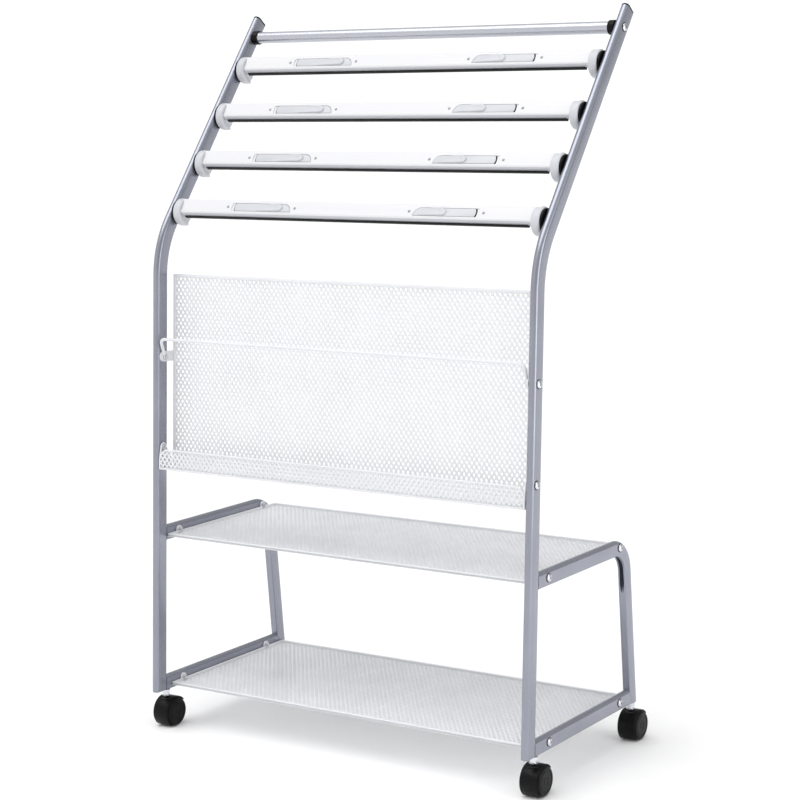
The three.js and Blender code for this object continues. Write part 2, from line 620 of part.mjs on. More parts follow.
// Flat mesh sheet in the XY plane, from z = 0 up to the sheet's thickness; the two upper corners can be round
function meshSheet(width, height, { pitch, row, strand, edge, sideEdge = edge, corner = 0 }) {
  const [w, h] = [width / 2, height / 2];
  const shape = new THREE.Shape();
  shape.moveTo(-w, -h);
  shape.lineTo(w, -h);
  if (corner > 0) {
    shape.absarc(w - corner, h - corner, corner, 0, Math.PI / 2, false);
    shape.absarc(-w + corner, h - corner, corner, Math.PI / 2, Math.PI, false);
  } else {
    shape.lineTo(w, h);
    shape.lineTo(-w, h);
  }
  const plate = new THREE.ExtrudeGeometry(shape, { depth: SHEET, bevelEnabled: false, curveSegments: 4 });
  const punches = diamonds(width - 2 * sideEdge, height - 2 * edge, pitch, row, strand).map((outline) => {
    const punch = new THREE.ExtrudeGeometry(new THREE.Shape(outline), { depth: 3 * SHEET, bevelEnabled: false });
    return punch.translate(0, 0, -SHEET);
  });
  return cut(plate, ...punches);
}

const COARSE_MESH = { pitch: MESH_PITCH, row: MESH_ROW, strand: STRAND, edge: HEM };

const MESH_HALF = INNER_X - SIDE_GAP;

// Ear of a mesh piece beside the frame: round-topped plate, from a lower edge up to a bolt
function ear(side, y, z0, boltZ) {
  const half = EAR_WIDTH / 2;
  const shape = new THREE.Shape();
  shape.moveTo(y - half, z0);
  shape.lineTo(y + half, z0);
  shape.lineTo(y + half, boltZ);
  shape.absarc(y, boltZ, half, 0, Math.PI, false);
  const x = [side * MESH_HALF, side * (MESH_HALF - EAR_THICK)].sort((a, b) => a - b);
  return alongX(shape, ...x);
}

// Shelf: mesh floor, raised hem all round and four ears; the bolts are at z = 0
function shelf(rear) {
  const front = uprightY(FOOT_HEIGHT) + SHELF_FRONT;
  const back = legY(FOOT_HEIGHT) - rear;
  const floor = -SHELF_DROP;
  const sheet = meshSheet(2 * MESH_HALF, back - front, COARSE_MESH);
  sheet.translate(0, (front + back) / 2, floor);
  const hem = (x0, x1, y0, y1) => block(Math.min(x0, x1), Math.max(x0, x1), y0, y1, floor, floor + HEM);
  const pieces = [
    hem(-MESH_HALF, MESH_HALF, front, front + HEM),
    hem(-MESH_HALF, MESH_HALF, back - HEM, back),
  ];
  const bolts = [uprightY(FOOT_HEIGHT) + FRONT_BOLT_BACK, legY(FOOT_HEIGHT) - REAR_BOLT_FORE];
  for (const side of Object.values(SIDES)) {
    pieces.push(hem(side * MESH_HALF, side * (MESH_HALF - HEM), front, back));
    for (const y of bolts) pieces.push(ear(side, y, floor, 0));
  }
  return join(sheet, ...pieces);
}

// Magazine trough, in the frame of the lower uprights: y square to them, z along them
function magazineTrough() {
  const width = 2 * MESH_HALF;
  const front = -TROUGH_FRONT;
  const rear = front + TROUGH_DEPTH;
  const lattice = { pitch: TROUGH_PITCH, strand: TROUGH_STRAND, edge: TROUGH_STRAND / 2 };
  const wall = meshSheet(width, TROUGH_HEIGHT,
    { ...lattice, row: TROUGH_HEIGHT, sideEdge: TROUGH_CORNER, corner: TROUGH_CORNER });
  wall.rotateX(Math.PI / 2).translate(0, front + SHEET, TROUGH_FLOOR + TROUGH_HEIGHT / 2);
  const floor = meshSheet(width, TROUGH_DEPTH, { ...lattice, row: TROUGH_DEPTH, pitch: 2 * TROUGH_PITCH });
  floor.translate(0, front + TROUGH_DEPTH / 2, TROUGH_FLOOR);
  const pieces = [floor];
  for (const side of Object.values(SIDES)) {
    const plate = new THREE.Shape();
    const shoulder = TROUGH_FLOOR + TROUGH_HEIGHT - TROUGH_CORNER;
    plate.moveTo(front, TROUGH_FLOOR);
    plate.lineTo(rear, TROUGH_FLOOR);
    plate.lineTo(rear, shoulder);
    plate.lineTo(EAR_WIDTH / 2, POCKET_BOLT);
    plate.absarc(0, POCKET_BOLT, EAR_WIDTH / 2, 0, Math.PI, false);
    plate.lineTo(front, shoulder);
    const x = [side * MESH_HALF, side * (MESH_HALF - EAR_THICK)].sort((a, b) => a - b);
    pieces.push(alongX(plate, ...x));
  }
  return join(wall, ...pieces);
}

// Back panel of the pocket, just behind the trough, with a hem along its upper edge and two ears
function pocketPanel() {
  const inset = EAR_THICK + SEAM_GAP;
  const half = MESH_HALF - inset;
  const front = -TROUGH_FRONT + TROUGH_DEPTH + PANEL_SETBACK;
  const height = PANEL_TOP - TROUGH_FLOOR;
  const sheet = meshSheet(2 * half, height, COARSE_MESH);
  sheet.rotateX(Math.PI / 2).translate(0, front + SHEET, TROUGH_FLOOR + height / 2);
  const hem = block(-half, half, front, front + HEM, PANEL_TOP - HEM, PANEL_TOP);
  const pieces = [hem];
  for (const side of Object.values(SIDES)) {
    const tab = new THREE.Shape();
    const tall = PANEL_EAR_HEIGHT / 2;
    tab.moveTo(front + SHEET, WIRE_BOLT - tall);
    tab.lineTo(front + SHEET, WIRE_BOLT + tall);
    tab.lineTo(0, WIRE_BOLT + tall);
    tab.absarc(0, WIRE_BOLT, tall, Math.PI / 2, 1.5 * Math.PI, false);
    const x = [side * half, side * MESH_HALF].sort((a, b) => a - b);
    pieces.push(alongX(tab, ...x));
    const stileX = [side * half, side * (half - HEM)].sort((a, b) => a - b);
    pieces.push(block(...stileX, front, front + HEM, TROUGH_FLOOR, PANEL_TOP));
  }
  return join(sheet, ...pieces);
}

// Retaining wire: a rod across the front whose ends turn down to flat tabs on the uprights
function retainingWire() {
  const tabX = MESH_HALF - EAR_THICK - 2 * SEAM_GAP - WIRE_TAB_THICK;
  const reach = tabX - WIRE_DIAMETER / 2 + WIRE_TAB_THICK;
  const legTop = inYZ(-WIRE_FORWARD, WIRE_HEIGHT);
  const tabPoint = inYZ(0, WIRE_BOLT);
  const up = legTop.clone().sub(tabPoint).normalize();
  const section = new THREE.Shape().absarc(0, 0, WIRE_DIAMETER / 2, 0, 2 * Math.PI, false);
  const path = new THREE.CurvePath();
  const at = (x, point) => new THREE.Vector3(x, point.y, point.z);
  const turnLow = legTop.clone().addScaledVector(up, -WIRE_BEND);
  path.add(new THREE.LineCurve3(at(-reach, tabPoint), at(-reach, turnLow)));
  path.add(new THREE.QuadraticBezierCurve3(at(-reach, turnLow), at(-reach, legTop), at(-reach + WIRE_BEND, legTop)));
  path.add(new THREE.LineCurve3(at(-reach + WIRE_BEND, legTop), at(reach - WIRE_BEND, legTop)));
  path.add(new THREE.QuadraticBezierCurve3(at(reach - WIRE_BEND, legTop), at(reach, legTop), at(reach, turnLow)));
  path.add(new THREE.LineCurve3(at(reach, turnLow), at(reach, tabPoint)));
  const rod = wireRod(path, section);
  const tabs = Object.values(SIDES).map((side) => {
    const tab = new THREE.CylinderGeometry(WIRE_TAB_RADIUS, WIRE_TAB_RADIUS, WIRE_TAB_THICK, 12);
    return tab.rotateZ(Math.PI / 2).translate(side * (tabX + WIRE_TAB_THICK / 2), tabPoint.y, tabPoint.z);
  });
  return join(rod, ...tabs);
}

// Round rod along a path, with stations only where the path needs them
function wireRod(path, section) {
  const sides = 8;
  const bendSteps = 3;
  const centres = [];
  for (const curve of path.curves) {
    const steps = curve.isLineCurve3 ? 1 : bendSteps;
    for (let i = centres.length ? 1 : 0; i <= steps; i += 1) {
      centres.push({ point: curve.getPoint(i / steps), tangent: curve.getTangent(i / steps) });
    }
  }
  const outline = section.getSpacedPoints(sides).slice(0, sides);
  const flat = new THREE.Vector3().crossVectors(centres[0].tangent, new THREE.Vector3(1, 0, 0)).normalize();
  const positions = [];
  for (const { point, tangent } of centres) {
    const across = new THREE.Vector3().crossVectors(tangent, flat).normalize();
    for (const p of outline) {
      positions.push(...point.clone().addScaledVector(across, p.x).addScaledVector(flat, p.y).toArray());
    }
  }
  const index = [];
  const rings = centres.length;
  for (let r = 0; r < rings - 1; r += 1) {
    for (let i = 0; i < sides; i += 1) {
      const j = (i + 1) % sides;
      const [a, b] = [r * sides + i, r * sides + j];
      index.push(a, b, b + sides, a, b + sides, a + sides);
    }
  }
  for (let i = 1; i < sides - 1; i += 1) {
    const end = (rings - 1) * sides;
    index.push(0, i + 1, i, end, end + i, end + i + 1);
  }
  const geometry = new THREE.BufferGeometry();
  geometry.setAttribute('position', new THREE.Float32BufferAttribute(positions, 3));
  geometry.setIndex(index);
  return faceOut(geometry);
}

// Casters, about the stem axis, standing on z = 0 and trailing to +Y

function casterWheel(side) {
  const inner = HOOD_WIDTH / 2 + CASTER_GAP;
  const outer = inner + WHEEL_WIDTH;
  const bore = AXLE_DIAMETER / 2 + AXLE_PLAY;
  const wheel = turned([
    [0, outer - HUB_WALL], [bore, outer - HUB_WALL], [bore, inner], [WHEEL_RADIUS, inner],
    [WHEEL_RADIUS, outer - WHEEL_ROUND], [WHEEL_RADIUS - WHEEL_ROUND, outer], [0, outer],
  ], 18);
  if (side < 0) wheel.rotateZ(Math.PI);
  return wheel.translate(0, CASTER_TRAIL, WHEEL_RADIUS);
}

// Upright post about the stem axis; a smaller top radius makes it a cone
function post(radius, z0, z1, sides, topRadius = radius) {
  const piece = new THREE.CylinderGeometry(topRadius, radius, z1 - z0, sides);
  return piece.rotateX(Math.PI / 2).translate(0, 0, (z0 + z1) / 2);
}

// Rod along X through the wheel centre
function axleRod(radius, halfLength) {
  const rod = new THREE.CylinderGeometry(radius, radius, 2 * halfLength, 14);
  return rod.rotateZ(Math.PI / 2).translate(0, CASTER_TRAIL, WHEEL_RADIUS);
}

// Hood: a web between the wheels, open below, with a neck round the stem
function casterHood() {
  const half = HOOD_WIDTH / 2;
  const radius = WHEEL_RADIUS - HOOD_INSET;
  const web = turned([[0, -half], [radius, -half], [radius, half], [0, half]], 22);
  web.translate(0, CASTER_TRAIL, WHEEL_RADIUS);
  const neck = block(-half, half, -NECK_DEPTH / 2, NECK_DEPTH / 2, WHEEL_RADIUS, HOOD_TOP);
  const socket = post(STEM_DIAMETER / 2 + STEM_PLAY, HOOD_TOP - STEM_DEPTH - SEAM_GAP, HOOD_TOP + STEM_PLAY, 14);
  const bore = axleRod(AXLE_DIAMETER / 2 + AXLE_PLAY, HOOD_WIDTH);
  const underside = block(-HOOD_WIDTH, HOOD_WIDTH, -WHEEL_RADIUS, 3 * WHEEL_RADIUS, -HOOD_CLEAR, HOOD_CLEAR);
  return cut(join(web, neck), socket, bore, underside);
}

function casterAxle() {
  return axleRod(AXLE_DIAMETER / 2, HOOD_WIDTH / 2 + CASTER_GAP + WHEEL_WIDTH - HUB_WALL - SEAM_GAP);
}

// Stem: pin in the hood, bright cone over it, neck and a hexagon nut under the tube
function casterStem() {
  const top = FOOT_HEIGHT - SEAM_GAP;
  const seat = HOOD_TOP + SEAM_GAP;
  const pin = post(STEM_DIAMETER / 2, HOOD_TOP - STEM_DEPTH, seat + SEAT_HEIGHT / 2, 14);
  const cone = post(STEM_DIAMETER / 2, seat, seat + SEAT_HEIGHT, 14, SEAT_RADIUS);
  const neck = post(STEM_NECK_RADIUS, seat + SEAT_HEIGHT / 2, top - NUT_HEIGHT / 2, 14);
  const nut = post(NUT_RADIUS, top - NUT_HEIGHT, top, 6);
  return join(pin, cone, neck, nut);
}

// Assembly

const rack = new THREE.Group();

function mirroredX(geometry) {
  const flipped = geometry.clone().scale(-1, 1, 1);
  return faceOut(flipped.index ? flipped : mergeVertices(flipped, 1e-4));
}

for (const [sideName, side] of Object.entries(SIDES)) {
  const sideFrame = new THREE.Group();
  sideFrame.position.x = side * TUBE_X;
  sideFrame.add(
    named(`upright_${sideName}`, uprightTube(), silverPaint()),
    named(`rear_leg_${sideName}`, rearLegTube(), silverPaint()),
    named(`base_rail_${sideName}`, baseRailTube(), silverPaint()),
  );
  const cap = named(`upright_cap_${sideName}`, endCap(), blackPlastic());
  cap.position.copy(UPPER_END);
  cap.rotation.x = -UPPER_LEAN;
  sideFrame.add(cap);
  rack.add(sideFrame);
}

const crossbarPlace = new THREE.Group();
crossbarPlace.position.copy(UPPER_END).addScaledVector(UPPER_AXIS, -CROSSBAR_DROP);
crossbarPlace.add(named('top_crossbar', crossbarTube(), crossbarSilver()));
for (const [sideName, side] of Object.entries(SIDES)) {
  const collar = named(`crossbar_collar_${sideName}`, crossbarCollar(), blackPlastic());
  collar.position.x = side * INNER_X;
  if (side < 0) collar.rotation.z = Math.PI;
  crossbarPlace.add(collar);
}
rack.add(crossbarPlace);

const clipFront = new THREE.Vector3(0, -Math.cos(UPPER_LEAN), Math.sin(UPPER_LEAN));
for (let i = 0; i < CLIP_COUNT; i += 1) {
  const clip = new THREE.Group();
  clip.position.copy(UPPER_END)
    .addScaledVector(UPPER_AXIS, -TOP_CLIP_DROP - i * CLIP_PITCH)
    .addScaledVector(clipFront, CLIP_STANDOFF);
  clip.rotation.x = -CLIP_TILT;
  const number = i + 1;
  clip.add(
    named(`clip_${number}_rail`, clipRail(), whiteProfile()),
    named(`clip_${number}_jaw`, clipJaw(), blackPlastic()),
  );
  for (const [sideName, side] of Object.entries(SIDES)) {
    const cradle = side < 0 ? mirroredX(clipCradle()) : clipCradle();
    clip.add(
      named(`clip_${number}_catch_${sideName}`, clipCatch(sideName, side), paleGrey()),
      named(`clip_${number}_cradle_${sideName}`, cradle, paleGrey()),
    );
  }
  rack.add(clip);
}

const pocket = new THREE.Group();
pocket.rotation.x = -LOWER_LEAN;
pocket.add(
  named('magazine_trough', magazineTrough(), whiteMesh()),
  named('pocket_back_panel', pocketPanel(), whiteMesh()),
  named('retaining_wire', retainingWire(), whiteMesh()),
);
rack.add(pocket);

const midShelf = named('mid_shelf', shelf(MID_SHELF_REAR), whiteMesh());
midShelf.position.z = MID_RAIL_HEIGHT;
const baseShelf = named('base_shelf', shelf(BASE_SHELF_REAR), whiteMesh());
baseShelf.position.z = BASE_RAIL_HEIGHT;
rack.add(midShelf, baseShelf);

const stemY = {
  front: uprightY(FOOT_HEIGHT) + FRONT_STEM_BACK,
  rear: legY(FOOT_HEIGHT),
};
for (const [endName, y] of Object.entries(stemY)) {
  for (const [sideName, side] of Object.entries(SIDES)) {
    const caster = new THREE.Group();
    caster.position.set(side * TUBE_X, y, 0);
    const prefix = `caster_${endName}_${sideName}`;
    caster.add(
      named(`${prefix}_stem`, casterStem(), brightSteel()),
      named(`${prefix}_hood`, casterHood(), blackPlastic()),
      named(`${prefix}_axle`, casterAxle(), brightSteel()),
      named(`${prefix}_wheel_left`, casterWheel(-1), blackPlastic()),
      named(`${prefix}_wheel_right`, casterWheel(1), blackPlastic()),
    );
    rack.add(caster);
  }
}

// The origin is under the middle of the whole rack
const extent = new THREE.Box3().setFromObject(rack);
rack.position.y = -(extent.min.y + extent.max.y) / 2;
rack.position.z = -extent.min.z;

export default rack;
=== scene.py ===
# %% [markdown]
# # A periodical display rack, piece by piece
# The rack has two bent tube side frames on casters, four lift-out newspaper clips, a pocket and two shelves
# of expanded mesh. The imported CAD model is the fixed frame: it says where every piece sits and what it
# moves with. We put a finer piece over each of its solids, so all of our work is in the same coordinates.

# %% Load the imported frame
import json
import math

import bmesh
import bpy
from mathutils import Matrix, Vector


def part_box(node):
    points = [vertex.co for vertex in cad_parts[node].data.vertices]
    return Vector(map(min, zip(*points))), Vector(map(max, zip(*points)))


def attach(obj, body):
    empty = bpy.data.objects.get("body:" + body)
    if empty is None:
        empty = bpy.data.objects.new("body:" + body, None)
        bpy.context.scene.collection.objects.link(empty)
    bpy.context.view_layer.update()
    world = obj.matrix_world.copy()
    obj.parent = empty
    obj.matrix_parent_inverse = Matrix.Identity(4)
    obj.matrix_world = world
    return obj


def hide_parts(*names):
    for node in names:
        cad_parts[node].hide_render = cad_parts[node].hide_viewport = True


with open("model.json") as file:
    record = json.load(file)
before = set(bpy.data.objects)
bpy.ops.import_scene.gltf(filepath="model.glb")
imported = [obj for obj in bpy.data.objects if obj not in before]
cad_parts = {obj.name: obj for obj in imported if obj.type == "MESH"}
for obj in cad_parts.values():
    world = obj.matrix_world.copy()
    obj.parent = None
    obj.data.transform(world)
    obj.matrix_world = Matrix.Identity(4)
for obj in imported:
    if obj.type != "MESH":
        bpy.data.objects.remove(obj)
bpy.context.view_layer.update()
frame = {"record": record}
record = frame["record"]

# %% Look up the bodies and joints by name
MM = 0.001
SIDES = {"left": -1, "right": 1}
ACROSS = Vector((1, 0, 0))
UP = Vector((0, 0, 1))
scene = bpy.context.scene
body_of = {node: body for body, nodes in record["behaviour"]["bodies"].items() for node in nodes}
joints = {joint["name"]: joint for joint in record["behaviour"]["joints"]}

# %% [markdown]
# ## Camera, light and floor
# The camera stands at the photograph's angle: to the right of the rack, a little above its middle, with a
# long lens. We could aim it with a constraint, but a matrix built from three directions is exact and easy
# to read. The world is a studio: a window side at the front left, a white ceiling, and a white wall behind
# the rack. One wide soft sun, high in front, lights the floor and the upper faces, and a tall soft box on
# the right draws the long highlights on the tubes.

# %% Camera
CAMERA_AZIMUTH = math.radians(32.89)
CAMERA_ELEVATION = math.radians(8.462)
CAMERA_ROLL = math.radians(-0.73)
CAMERA_PLACE = Vector((1.6305, -2.4968, 0.9396))
CAMERA_LENS, SENSOR_WIDTH = 94.08, 36

level = math.cos(CAMERA_ELEVATION)
towards_camera = Vector((math.sin(CAMERA_AZIMUTH) * level, -math.cos(CAMERA_AZIMUTH) * level,
                         math.sin(CAMERA_ELEVATION)))
camera_right = (-towards_camera).cross(UP).normalized()
camera_up = camera_right.cross(-towards_camera)
rolled_right = camera_right * math.cos(CAMERA_ROLL) + camera_up * math.sin(CAMERA_ROLL)
rolled_up = camera_up * math.cos(CAMERA_ROLL) - camera_right * math.sin(CAMERA_ROLL)


def place_matrix(x_axis, y_axis, z_axis, origin):
    """Matrix whose columns are three axes and an origin."""
    rows = [[x_axis[k], y_axis[k], z_axis[k], origin[k]] for k in range(3)]
    return Matrix(rows + [[0, 0, 0, 1]])


camera_data = bpy.data.cameras.new("photo_camera")
camera_data.lens = CAMERA_LENS
camera_data.sensor_width = SENSOR_WIDTH
camera = bpy.data.objects.new("photo_camera", camera_data)
camera.matrix_world = place_matrix(rolled_right, rolled_up, towards_camera, CAMERA_PLACE)
scene.collection.objects.link(camera)
scene.camera = camera
print("camera at", [round(v, 3) for v in CAMERA_PLACE], "lens", CAMERA_LENS)

# %% The studio's bright sides
ROOM_LIGHT = 0.18
WINDOW_SIDE = Vector((-0.6, -0.8, 0))
# Each bright side: its direction, the cosines where it begins and where it is full, and its light
BRIGHT_SIDES = [(-towards_camera, 0.8, 0.93, 1.1), (UP, 0.4, 0.85, 0.95), (WINDOW_SIDE, -0.3, 0.9, 1.0)]
scene.view_settings.view_transform = "Standard"
world = bpy.data.worlds.new("white_studio")
scene.world = world
world.use_nodes = True
nodes, links = world.node_tree.nodes, world.node_tree.links
direction = nodes.new("ShaderNodeTexCoord")
brightest = None
for side, edge, full, light in BRIGHT_SIDES:
    towards, ramp = nodes.new("ShaderNodeVectorMath"), nodes.new("ShaderNodeMapRange")
    larger = nodes.new("ShaderNodeMath")
    towards.operation, larger.operation = "DOT_PRODUCT", "MAXIMUM"
    towards.inputs[1].default_value = side
    ramp.inputs["From Min"].default_value, ramp.inputs["From Max"].default_value = edge, full
    ramp.inputs["To Min"].default_value, ramp.inputs["To Max"].default_value = ROOM_LIGHT, light
    links.new(direction.outputs["Generated"], towards.inputs[0])
    links.new(towards.outputs["Value"], ramp.inputs["Value"])
    links.new(ramp.outputs["Result"], larger.inputs[0])
    if brightest:
        links.new(brightest, larger.inputs[1])
    brightest = larger.outputs["Value"]
links.new(brightest, nodes["Background"].inputs["Strength"])
nodes["Background"].inputs["Color"].default_value = (1, 1, 1, 1)
print("world with", len(BRIGHT_SIDES), "bright sides")

# %% Sun and soft box
SUN_POWER, SUN_SPREAD, SUN_PLACE = 1.4, math.radians(50), Vector((-0.25, -0.4, 1))
BOX_PLACE, BOX_AIM, BOX_SIZE, BOX_POWER = Vector((2.5, -0.1, 0.9)), Vector((0, 0, 0.6)), (1.3, 2.2), 21


def add_light(name, kind, power, towards):
    """Light that shines from the direction of a vector."""
    light = bpy.data.objects.new(name, bpy.data.lights.new(name, kind))
    light.data.energy = power
    light.rotation_euler = towards.to_track_quat("Z", "Y").to_euler()
    scene.collection.objects.link(light)
    return light


sun = add_light("soft_sun", "SUN", SUN_POWER, SUN_PLACE)
sun.data.angle = SUN_SPREAD
soft_box = add_light("tall_soft_box", "AREA", BOX_POWER, BOX_PLACE - BOX_AIM)
soft_box.location = BOX_PLACE
soft_box.data.shape = "RECTANGLE"
soft_box.data.size, soft_box.data.size_y = BOX_SIZE
print("sun of strength", SUN_POWER, "and soft box of", BOX_POWER, "watts")

# %% Floor
FLOOR_REACH = 60
floor_mesh = bpy.data.meshes.new("floor")
floor_mesh.from_pydata([(x, y, 0) for x, y in ((-1, -1), (1, -1), (1, 1), (-1, 1))], [], [(0, 1, 2, 3)])
floor_mesh.transform(Matrix.Scale(FLOOR_REACH, 4))
floor = bpy.data.objects.new("floor", floor_mesh)
scene.collection.objects.link(floor)
print("floor reaches", FLOOR_REACH, "metres each way")

# %% [markdown]
# ## Finishes
# The tubes are powder-coated silver, the mesh is powder-coated white, the clips are white extrusions with
# pale grey plastic fittings, and the small parts are black plastic or bright plated steel. One recipe makes
# them all: a broad noise drifts the colour a little, a fine noise roughens and dents the surface, and a
# stretched noise draws the lines of an extruded or drawn part. All of it reads Object coordinates, so it
# moves with the piece.

# %% A recipe for finishes
DRIFT_SCALE, NOISE_DETAIL, RELIEF_DEPTH = 16, 3, 0.0002
DRIFT_EDGES = 0.3, 0.7


def tone(red, green, blue):
    """Linear colour from the 0 to 255 numbers of a colour picker, by the sRGB curve."""
    shares = [value / 255 for value in (red, green, blue)]
    linear = [s / 12.92 if s <= 0.04 else ((s + 0.055) / 1.055) ** 2.4 for s in shares]
    return (*linear, 1.0)


def finish(name, pale, deep, rough, metal=0.0, grain=900, relief=0.08, stretch=(1, 1, 1), gloss=0.5):
    """Material with a drifting colour, a fine grain in roughness and relief, stretched along an axis."""
    material = bpy.data.materials.new(name)
    material.use_nodes = True
    nodes, links = material.node_tree.nodes, material.node_tree.links
    shader = nodes["Principled BSDF"]
    shader.inputs["Metallic"].default_value = metal
    shader.inputs["Specular IOR Level"].default_value = gloss
    coordinates = nodes.new("ShaderNodeTexCoord")
    lie = nodes.new("ShaderNodeMapping")
    lie.inputs["Scale"].default_value = stretch
    links.new(coordinates.outputs["Object"], lie.inputs["Vector"])
    drift, fine = nodes.new("ShaderNodeTexNoise"), nodes.new("ShaderNodeTexNoise")
    for noise, scale in ((drift, DRIFT_SCALE), (fine, grain)):
        noise.inputs["Scale"].default_value = scale
        noise.inputs["Detail"].default_value = NOISE_DETAIL
        links.new(lie.outputs["Vector"], noise.inputs["Vector"])
    colour = nodes.new("ShaderNodeValToRGB")
    low, high = colour.color_ramp.elements
    low.position, high.position = DRIFT_EDGES
    low.color, high.color = tone(*deep), tone(*pale)
    links.new(drift.outputs["Fac"], colour.inputs["Fac"])
    links.new(colour.outputs["Color"], shader.inputs["Base Color"])
    spread = nodes.new("ShaderNodeMapRange")
    spread.inputs["To Min"].default_value, spread.inputs["To Max"].default_value = rough
    links.new(fine.outputs["Fac"], spread.inputs["Value"])
    links.new(spread.outputs["Result"], shader.inputs["Roughness"])
    if relief:
        bump = nodes.new("ShaderNodeBump")
        bump.inputs["Strength"].default_value = relief
        bump.inputs["Distance"].default_value = RELIEF_DEPTH
        links.new(fine.outputs["Fac"], bump.inputs["Height"])
        links.new(bump.outputs["Normal"], shader.inputs["Normal"])
    return material


print("recipe for finishes ready")

# %% The rack's finishes
DRAWN = {"grain": 30, "relief": 0.0, "stretch": (0.1, 40, 40)}
silver_coat = finish("silver_powder_coat", (150, 153, 164), (144, 147, 158), (0.22, 0.28), metal=0.72)
crossbar_coat = finish("crossbar_silver", (190, 192, 200), (185, 187, 195), (0.26, 0.29), metal=0.8,
                       **DRAWN)
clip_white = finish("clip_white", (220, 220, 223), (217, 217, 220), (0.3, 0.38), **DRAWN)
# The lip under the rail's nose gets a greyer copy of the rail's white: painted shade for a face turned down.
clip_lip_painted_shade = finish("clip_lip_painted_shade", (196, 197, 203), (188, 189, 195), (0.4, 0.5), **DRAWN)
pale_plastic = finish("pale_grey_plastic", (201, 203, 208), (195, 197, 202), (0.36, 0.48), grain=1500)
mesh_coat = finish("white_powder_coat", (228, 229, 232), (222, 223, 226), (0.3, 0.44), grain=1100)
black_plastic = finish("black_plastic", (8, 8, 10), (5, 5, 6), (0.26, 0.4), grain=1800, relief=0.1,
                       gloss=0.15)
plated_steel = finish("plated_steel", (222, 224, 228), (206, 208, 213), (0.08, 0.16), metal=1.0, grain=500,
                      relief=0.02)
rivet_grey = finish("rivet_grey", (150, 152, 158), (136, 138, 144), (0.3, 0.4), metal=0.6)
floor_paint = finish("pale_floor", (250, 250, 250), (248, 248, 248), (0.6, 0.7), grain=40, relief=0.01)
floor.data.materials.append(floor_paint)
print(len(bpy.data.materials), "materials in the file")


# %% [markdown]
# ## Shapes from rings
# Nearly every rigid piece here is a row of cross-sections with a skin over them: a tube, a cap, a wheel, a
# nut. Blender's own primitives would leave plain cylinders, so we write the rings ourselves, in
# millimetres. `loft` joins the rings, `lathe` turns a profile round an axis, and `along_x` pushes an
# outline sideways. `solid` welds the points, turns the faces outwards and marks the sharp edges.

# %% Lofts and lathes
SHARP_ANGLE = math.radians(32)
WELD = 1e-6


def even_steps(low, high, steps):
    """Even numbers from low to high, both included."""
    return [low + (high - low) * k / steps for k in range(steps + 1)]


def loft(rings, loop=False):
    """Skin over rings of equal length, with filled ends unless the rings come round to the start."""
    count = len(rings[0])
    points = [point for ring in rings for point in ring]
    faces = []
    for r in range(len(rings) if loop else len(rings) - 1):
        here, there = r * count, (r + 1) % len(rings) * count
        for k in range(count):
            after = (k + 1) % count
            faces.append((here + k, here + after, there + after, there + k))
    if not loop:
        faces += [tuple(range(count)), tuple(range(len(points) - count, len(points)))]
    return points, faces


def lathe(profile, segments=48, loop=False):
    """Profile of (radius, height) turned about Z."""
    turns = even_steps(0, 2 * math.pi, segments)[:-1]
    return loft([[(r * math.cos(a), r * math.sin(a), z) for a in turns] for r, z in profile], loop)


def drum(radius, low, high, segments):
    """Plain bar about Z, round or with a few sides."""
    return lathe([(0, low), (radius, low), (radius, high), (0, high)], segments)


def along_x(outline, x0, x1):
    """Outline of (y, z) pushed along X."""
    return loft([[(x, y, z) for y, z in outline] for x in (x0, x1)])


def shift(x=0, y=0, z=0):
    return Matrix.Translation((x, y, z))


def placed(shape, matrix):
    points, faces = shape
    return [matrix @ Vector(p) for p in points], faces


print("lofts and lathes ready")

# %% Outlines
def arc(centre, radius, start, end, steps):
    """Points of a circular arc, angles in degrees."""
    angles = [math.radians(angle) for angle in even_steps(start, end, steps)]
    return [(centre[0] + radius * math.cos(a), centre[1] + radius * math.sin(a)) for a in angles]


def rounded(corners, steps=5):
    """Outline through corners (u, v, radius), each rounded by its own radius."""
    outline = []
    for k, (u, v, radius) in enumerate(corners):
        here = Vector((u, v))
        before = (Vector(corners[k - 1][:2]) - here).normalized()
        after = (Vector(corners[(k + 1) % len(corners)][:2]) - here).normalized()
        if radius <= 0:
            outline.append((u, v))
            continue
        half = before.angle(after) / 2
        centre = here + (before + after).normalized() * (radius / math.sin(half))
        reach = radius / math.tan(half)
        start, end = here + before * reach - centre, here + after * reach - centre
        sweep = math.atan2(start.x * end.y - start.y * end.x, start.dot(end))
        for turn in even_steps(0, sweep, steps):
            outline.append((centre.x + start.x * math.cos(turn) - start.y * math.sin(turn),
                            centre.y + start.x * math.sin(turn) + start.y * math.cos(turn)))
    return outline


def rounded_box(u0, u1, v0, v1, radius, steps=5):
    """Outline of a rectangle with rounded corners."""
    return rounded([(u0, v0, radius), (u1, v0, radius), (u1, v1, radius), (u0, v1, radius)], steps)


print("outlines ready")

# %% From shapes to objects
def shade(piece):
    """Smooth shading with sharp edges."""
    piece.data.shade_smooth()
    piece.data.set_sharp_from_angle(angle=SHARP_ANGLE)
    return piece


def solid(name, *shapes):
    """Object from closed shapes in millimetres, with welded points and outward faces."""
    work = bmesh.new()
    for points, faces in shapes:
        corners = [work.verts.new(Vector(p) * MM) for p in points]
        for face in faces:
            work.faces.new([corners[k] for k in face])
        bmesh.ops.remove_doubles(work, verts=corners, dist=WELD)
    bmesh.ops.recalc_face_normals(work, faces=work.faces)
    mesh = bpy.data.meshes.new(name)
    work.to_mesh(mesh)
    work.free()
    piece = bpy.data.objects.new(name, mesh)
    scene.collection.objects.link(piece)
    return shade(piece)


print("from shapes to objects: ready")

